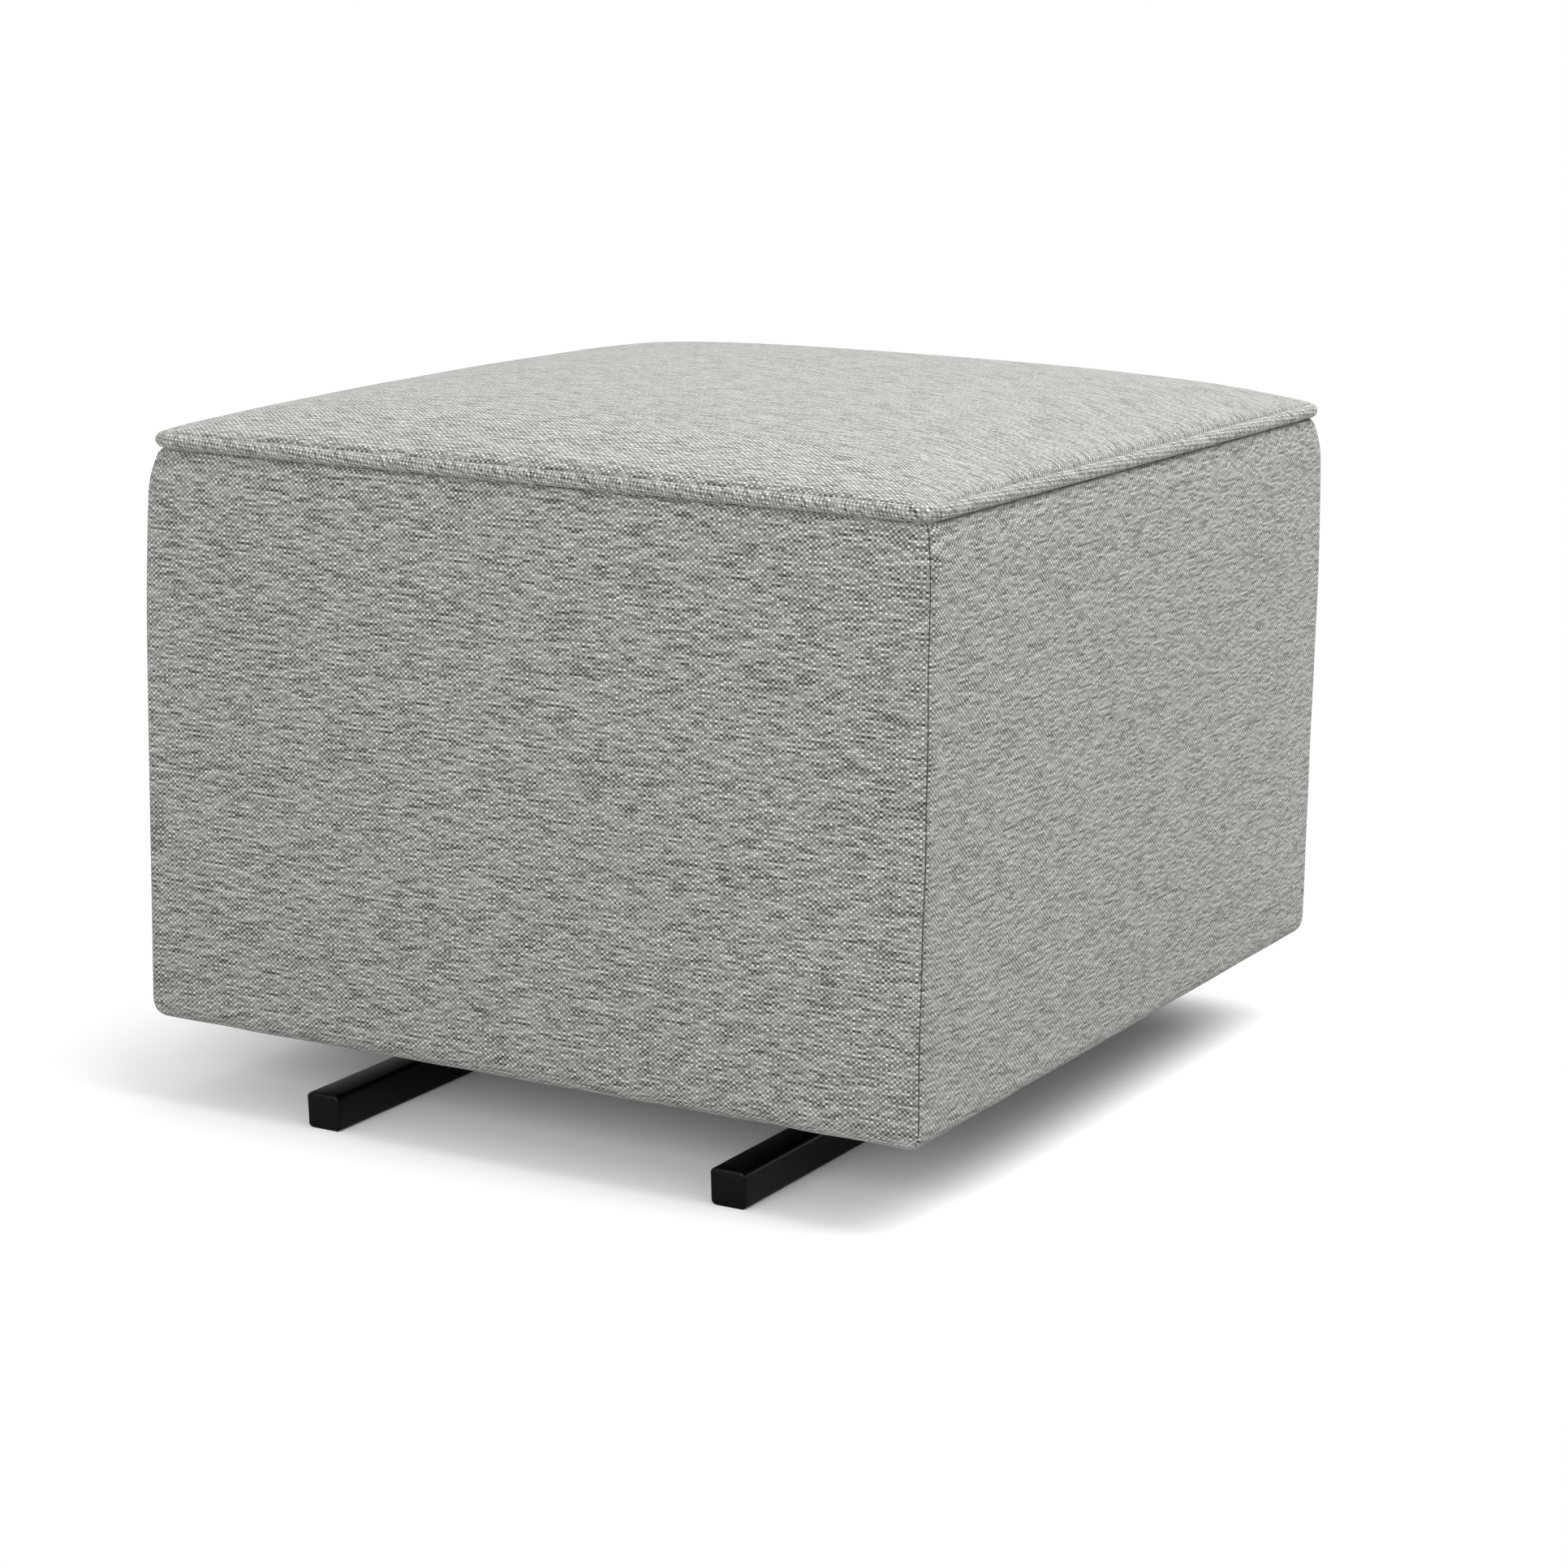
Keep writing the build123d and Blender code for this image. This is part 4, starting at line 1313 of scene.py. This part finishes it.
@dataclass
class FloorRails:
    """The two square floor rails, closed at both ends, with softly rounded edges.

    Attributes:
        corner: the radius of the long edges.
        end_round: the radius of the end's edges.
        rake: how far the end face's foot stands back from its top edge.
        rake_power: how sharply the rake dies out away from the end.
        arc_steps, rings: how many steps round a corner and along the rail.
    """

    corner: float = 3.0 * MM
    end_round: float = 1.5 * MM
    rake: float = 2.0 * MM
    rake_power: float = 40.0
    arc_steps: int = 6
    rings: int = 58

    def section(self, half: float, shrink: np.ndarray) -> np.ndarray:
        """The rounded square at several insets: four quarter circles joined by straights.

        Args:
            half: half the rail's width.
            shrink: how far the section lies inside the full one, for each ring.

        Returns:
            Rings x points x 2, as X and Z from the rail's middle.
        """
        turn = np.linspace(0, np.pi / 2, self.arc_steps + 1)
        quarter = np.concatenate([turn + k * np.pi / 2 for k in range(4)])
        side_x = np.repeat([1, -1, -1, 1], len(turn))
        side_z = np.repeat([1, 1, -1, -1], len(turn))
        radius = np.maximum(self.corner - shrink, 0.8 * MM)[:, None]
        hub = half - shrink[:, None] - radius
        x, z = side_x * hub + radius * np.cos(quarter), side_z * hub + radius * np.sin(quarter)
        return np.stack([x, z], -1)

    def make(self, name: str, nodes: Sequence[str]) -> bpy.types.Object:
        """Sweeps the section along the rail, rounding it into each end on a quarter circle.

        Args:
            name: the piece's name.
            nodes: the CAD nodes that it stands for; the first gives its place.

        Returns:
            The piece.
        """
        low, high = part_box(nodes[0])
        half = (high.x - low.x) / 2
        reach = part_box("rail_end_caps")[1].y
        edge = np.linspace(0, np.pi / 2, 7)
        shrink_in = np.array([half - 2.5 * MM, half * 0.5, 3.2 * MM])
        shrink = np.concatenate([shrink_in, self.end_round * (1 - np.sin(edge))])
        along = np.concatenate([np.zeros(3), self.end_round * (1 - np.cos(edge))])
        body = np.linspace(0, 1, self.rings + 2)[1:-1]
        shrink = np.concatenate([shrink, np.zeros(len(body)), shrink[::-1]])
        front, rear = -reach + along, (reach - along)[::-1]
        middle = front[-1] + (rear[0] - front[-1]) * body
        y = np.concatenate([front, middle, rear])
        ring = self.section(half, shrink)
        x = (low.x + high.x) / 2 + ring[..., 0]
        z = (low.z + high.z) / 2 + ring[..., 1]
        y = y[:, None]
        lean = self.rake * (high.z - z) / (high.z - low.z)
        y = y - np.sign(y) * lean * np.clip(np.abs(y) / reach, 0, 1) ** self.rake_power
        rail = piece_from(name, [Patch(np.stack([x, y, z], -1), closed_columns=True)])
        BLACK_STEEL.put_on(rail)
        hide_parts(*nodes)
        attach(rail, "base")
        LOG.info("%s: %d points", name, len(rail.data.vertices))
        return rail


@dataclass
class Hardware:
    """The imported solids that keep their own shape, each with the finish of the real piece."""

    finishes: tuple[tuple[Finish, tuple[str, ...]], ...] = (
        (BLACK_STEEL, ("floor_cross_tube", "post_", "upper_rail", "upper_cross_tube")),
        (BLACK_STEEL, ("swing_arm", "carrier_bar", "crossbar")),
        (RUBBER, ("stop_buffers",)),
        (ZINC, ("upper_pivot_bolts", "lower_pivot", "mounting_screws")),
        (PLYWOOD["side"], ("side_board",)),
        (PLYWOOD["front"], ("front_board", "rear_board")),
        (PLYWOOD["deck"], ("deck_board",)),
        (HARDWOOD["block"], ("corner_blocks",)),
        (HARDWOOD["cleat"], ("mounting_cleat",)),
    )

    def dress(self) -> None:
        """Puts each finish on the nodes whose names start with one of its words."""
        for name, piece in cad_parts.items():
            if piece.hide_render:
                continue
            finish = next((f for f, starts in self.finishes if name.startswith(starts)), None)
            if finish is None:
                raise ValueError(f"no finish for {name}")
            finish.put_on(piece)
            LOG.info("%s: %s", name, finish.name)


# --------------------------------------------------------------------------------------------- studio


@dataclass
class Studio:
    """A white sweep under soft lamps, and the camera at the photograph's angle.

    Angles are in degrees. The floor's gain is what makes it white to the camera without lighting the
    object from below, and between white_from and white_to of shade_middle it fades to plain white.
    """

    lens: float = 91.05
    yaw: float = 28.49
    pitch: float = 12.44
    roll: float = 1.0
    distance: float = 2.39164
    side_step: float = 0.01597
    eye_height: float = 0.70059
    floor_size: float = 14.0
    floor_tone: str = "#C4C4C4"
    floor_gain: float = 1.86
    shade_middle: tuple[float, float, float] = (0.07, -0.16, 0.0)
    white_from: float = 0.36
    white_to: float = 0.56
    sky: float = 0.64
    aim: tuple[float, float, float] = (0.0, 0.0, 0.25)
    lamps: tuple[tuple[str, tuple[float, float, float], float, float], ...] = (
        ("overhead softbox", (0.9, 0.5, 2.45), 2.5, 84.0),
        ("front softbox", (0.3, -2.6, 0.9), 1.6, 30.0),
    )

    def camera(self) -> None:
        """Sets the camera from its yaw, pitch, roll and distance, with no shift."""
        turn, dip = math.radians(self.yaw), math.radians(self.pitch)
        data = bpy.data.cameras.new("camera")
        data.lens, data.sensor_width = self.lens, 36.0
        eye = bpy.data.objects.new("camera", data)
        eye.location = (
            math.sin(turn) * self.distance + math.cos(turn) * self.side_step,
            -math.cos(turn) * self.distance + math.sin(turn) * self.side_step,
            self.eye_height,
        )
        eye.rotation_euler = (
            Matrix.Rotation(turn, 3, "Z")
            @ Matrix.Rotation(math.pi / 2 - dip, 3, "X")
            @ Matrix.Rotation(math.radians(self.roll), 3, "Z")
        ).to_euler()
        bpy.context.scene.collection.objects.link(eye)
        bpy.context.scene.camera = eye

    def floor(self) -> None:
        """Lays a pale floor that looks white to the camera and keeps the object's shadow."""
        half = self.floor_size / 2
        mesh = bpy.data.meshes.new("studio_floor")
        corners = [(x * half, y * half, 0) for x, y in ((-1, -1), (1, -1), (1, 1), (-1, 1))]
        mesh.from_pydata(corners, [], [(0, 1, 2, 3)])
        floor = bpy.data.objects.new("studio_floor", mesh)
        bpy.context.scene.collection.objects.link(floor)
        paint = bpy.data.materials.new("matt white studio paint")
        paint.use_nodes = True
        tree = paint.node_tree
        tree.nodes.clear()
        path = add_node(tree, "LightPath", out="Is Camera Ray")
        gain = add_node(tree, "MapRange", {"Value": path, "To Min": 1.0, "To Max": self.floor_gain})
        tone = {0: linear(self.floor_tone)[:3], "Scale": gain}
        tone = add_node(tree, "VectorMath", tone, operation="SCALE")
        plain = add_node(tree, "BsdfDiffuse", {"Color": tone, "Roughness": 0.5})
        # Far from the object the camera sees a plain white glow: painted light that also covers the outer
        # part of the object's shadow on the floor, from white_from to white_to of shade_middle.
        at = add_node(tree, "TexCoord", out="Object")
        reach = {0: at, 1: self.shade_middle}
        reach = add_node(tree, "VectorMath", reach, out="Value", operation="DISTANCE")
        ends = {0: reach, "From Min": self.white_from, "From Max": self.white_to}
        white_glow_share = add_node(tree, "MapRange", ends, interpolation_type="SMOOTHSTEP")
        white_glow_share = add_node(tree, "Math", {0: white_glow_share, 1: path}, operation="MULTIPLY")
        painted_white_glow = add_node(tree, "Emission", {"Strength": 1.0})
        shader = add_node(tree, "MixShader", {0: white_glow_share, 1: plain, 2: painted_white_glow})
        add_node(tree, "OutputMaterial", {0: shader})
        mesh.materials.append(paint)

    def light(self) -> None:
        """Hangs the softboxes and sets the sky, which is white to camera, glossy and clear rays."""
        for name, place, size, power in self.lamps:
            data = bpy.data.lights.new(name, "AREA")
            data.shape, data.size, data.energy = "SQUARE", size, power
            lamp = bpy.data.objects.new(name, data)
            lamp.location = place
            way = Vector(self.aim) - Vector(place)
            lamp.rotation_euler = way.to_track_quat("-Z", "Y").to_euler()
            bpy.context.scene.collection.objects.link(lamp)
        world = bpy.data.worlds.new("studio sky")
        bpy.context.scene.world = world
        world.use_nodes = True
        tree = world.node_tree
        tree.nodes.clear()
        seen = add_node(tree, "LightPath", out="Is Camera Ray")
        paths = seen.node.outputs
        for way in ("Is Glossy Ray", "Is Transmission Ray"):
            seen = add_node(tree, "Math", {0: seen, 1: paths[way]}, operation="MAXIMUM")
        glow = add_node(tree, "MapRange", {"Value": seen, "To Min": self.sky, "To Max": 1.0})
        shade = add_node(tree, "Background", {"Color": (1, 1, 1, 1), "Strength": glow})
        add_node(tree, "OutputWorld", {0: shade})

    def build(self) -> None:
        """Makes the camera, floor and light."""
        self.camera()
        self.floor()
        self.light()
        bpy.context.scene.view_settings.view_transform = "Standard"


def main() -> None:
    """Builds the ottoman's pieces in order, dresses them and sets up the studio."""
    logging.basicConfig(level=logging.INFO, format="%(message)s")
    Studio().build()
    form = BoxForm()
    stuffing = Stuffing()
    walls, seat, welt = WallPads(form), SeatCushion(form), WeltCord(form)
    pads = walls.make(stuffing)
    low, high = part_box("welt_cord")
    cushion = seat.make(stuffing, (low.z + high.z) / 2 + seat.rim_lift)
    stuffing.run()
    walls.finish(pads)
    seat.finish(cushion)
    welt.make()
    CornerStitching(form).make(walls)
    covers = DustCovers()
    for name in ("dust_cover_left", "dust_cover_centre", "dust_cover_right"):
        covers.panel(name)
    covers.staples()
    rails = FloorRails()
    rails.make("rail_left", ["floor_rail_left", "rail_end_caps"])
    rails.make("rail_right", ["floor_rail_right"])
    Hardware().dress()


if __name__ == "__main__":
    main()
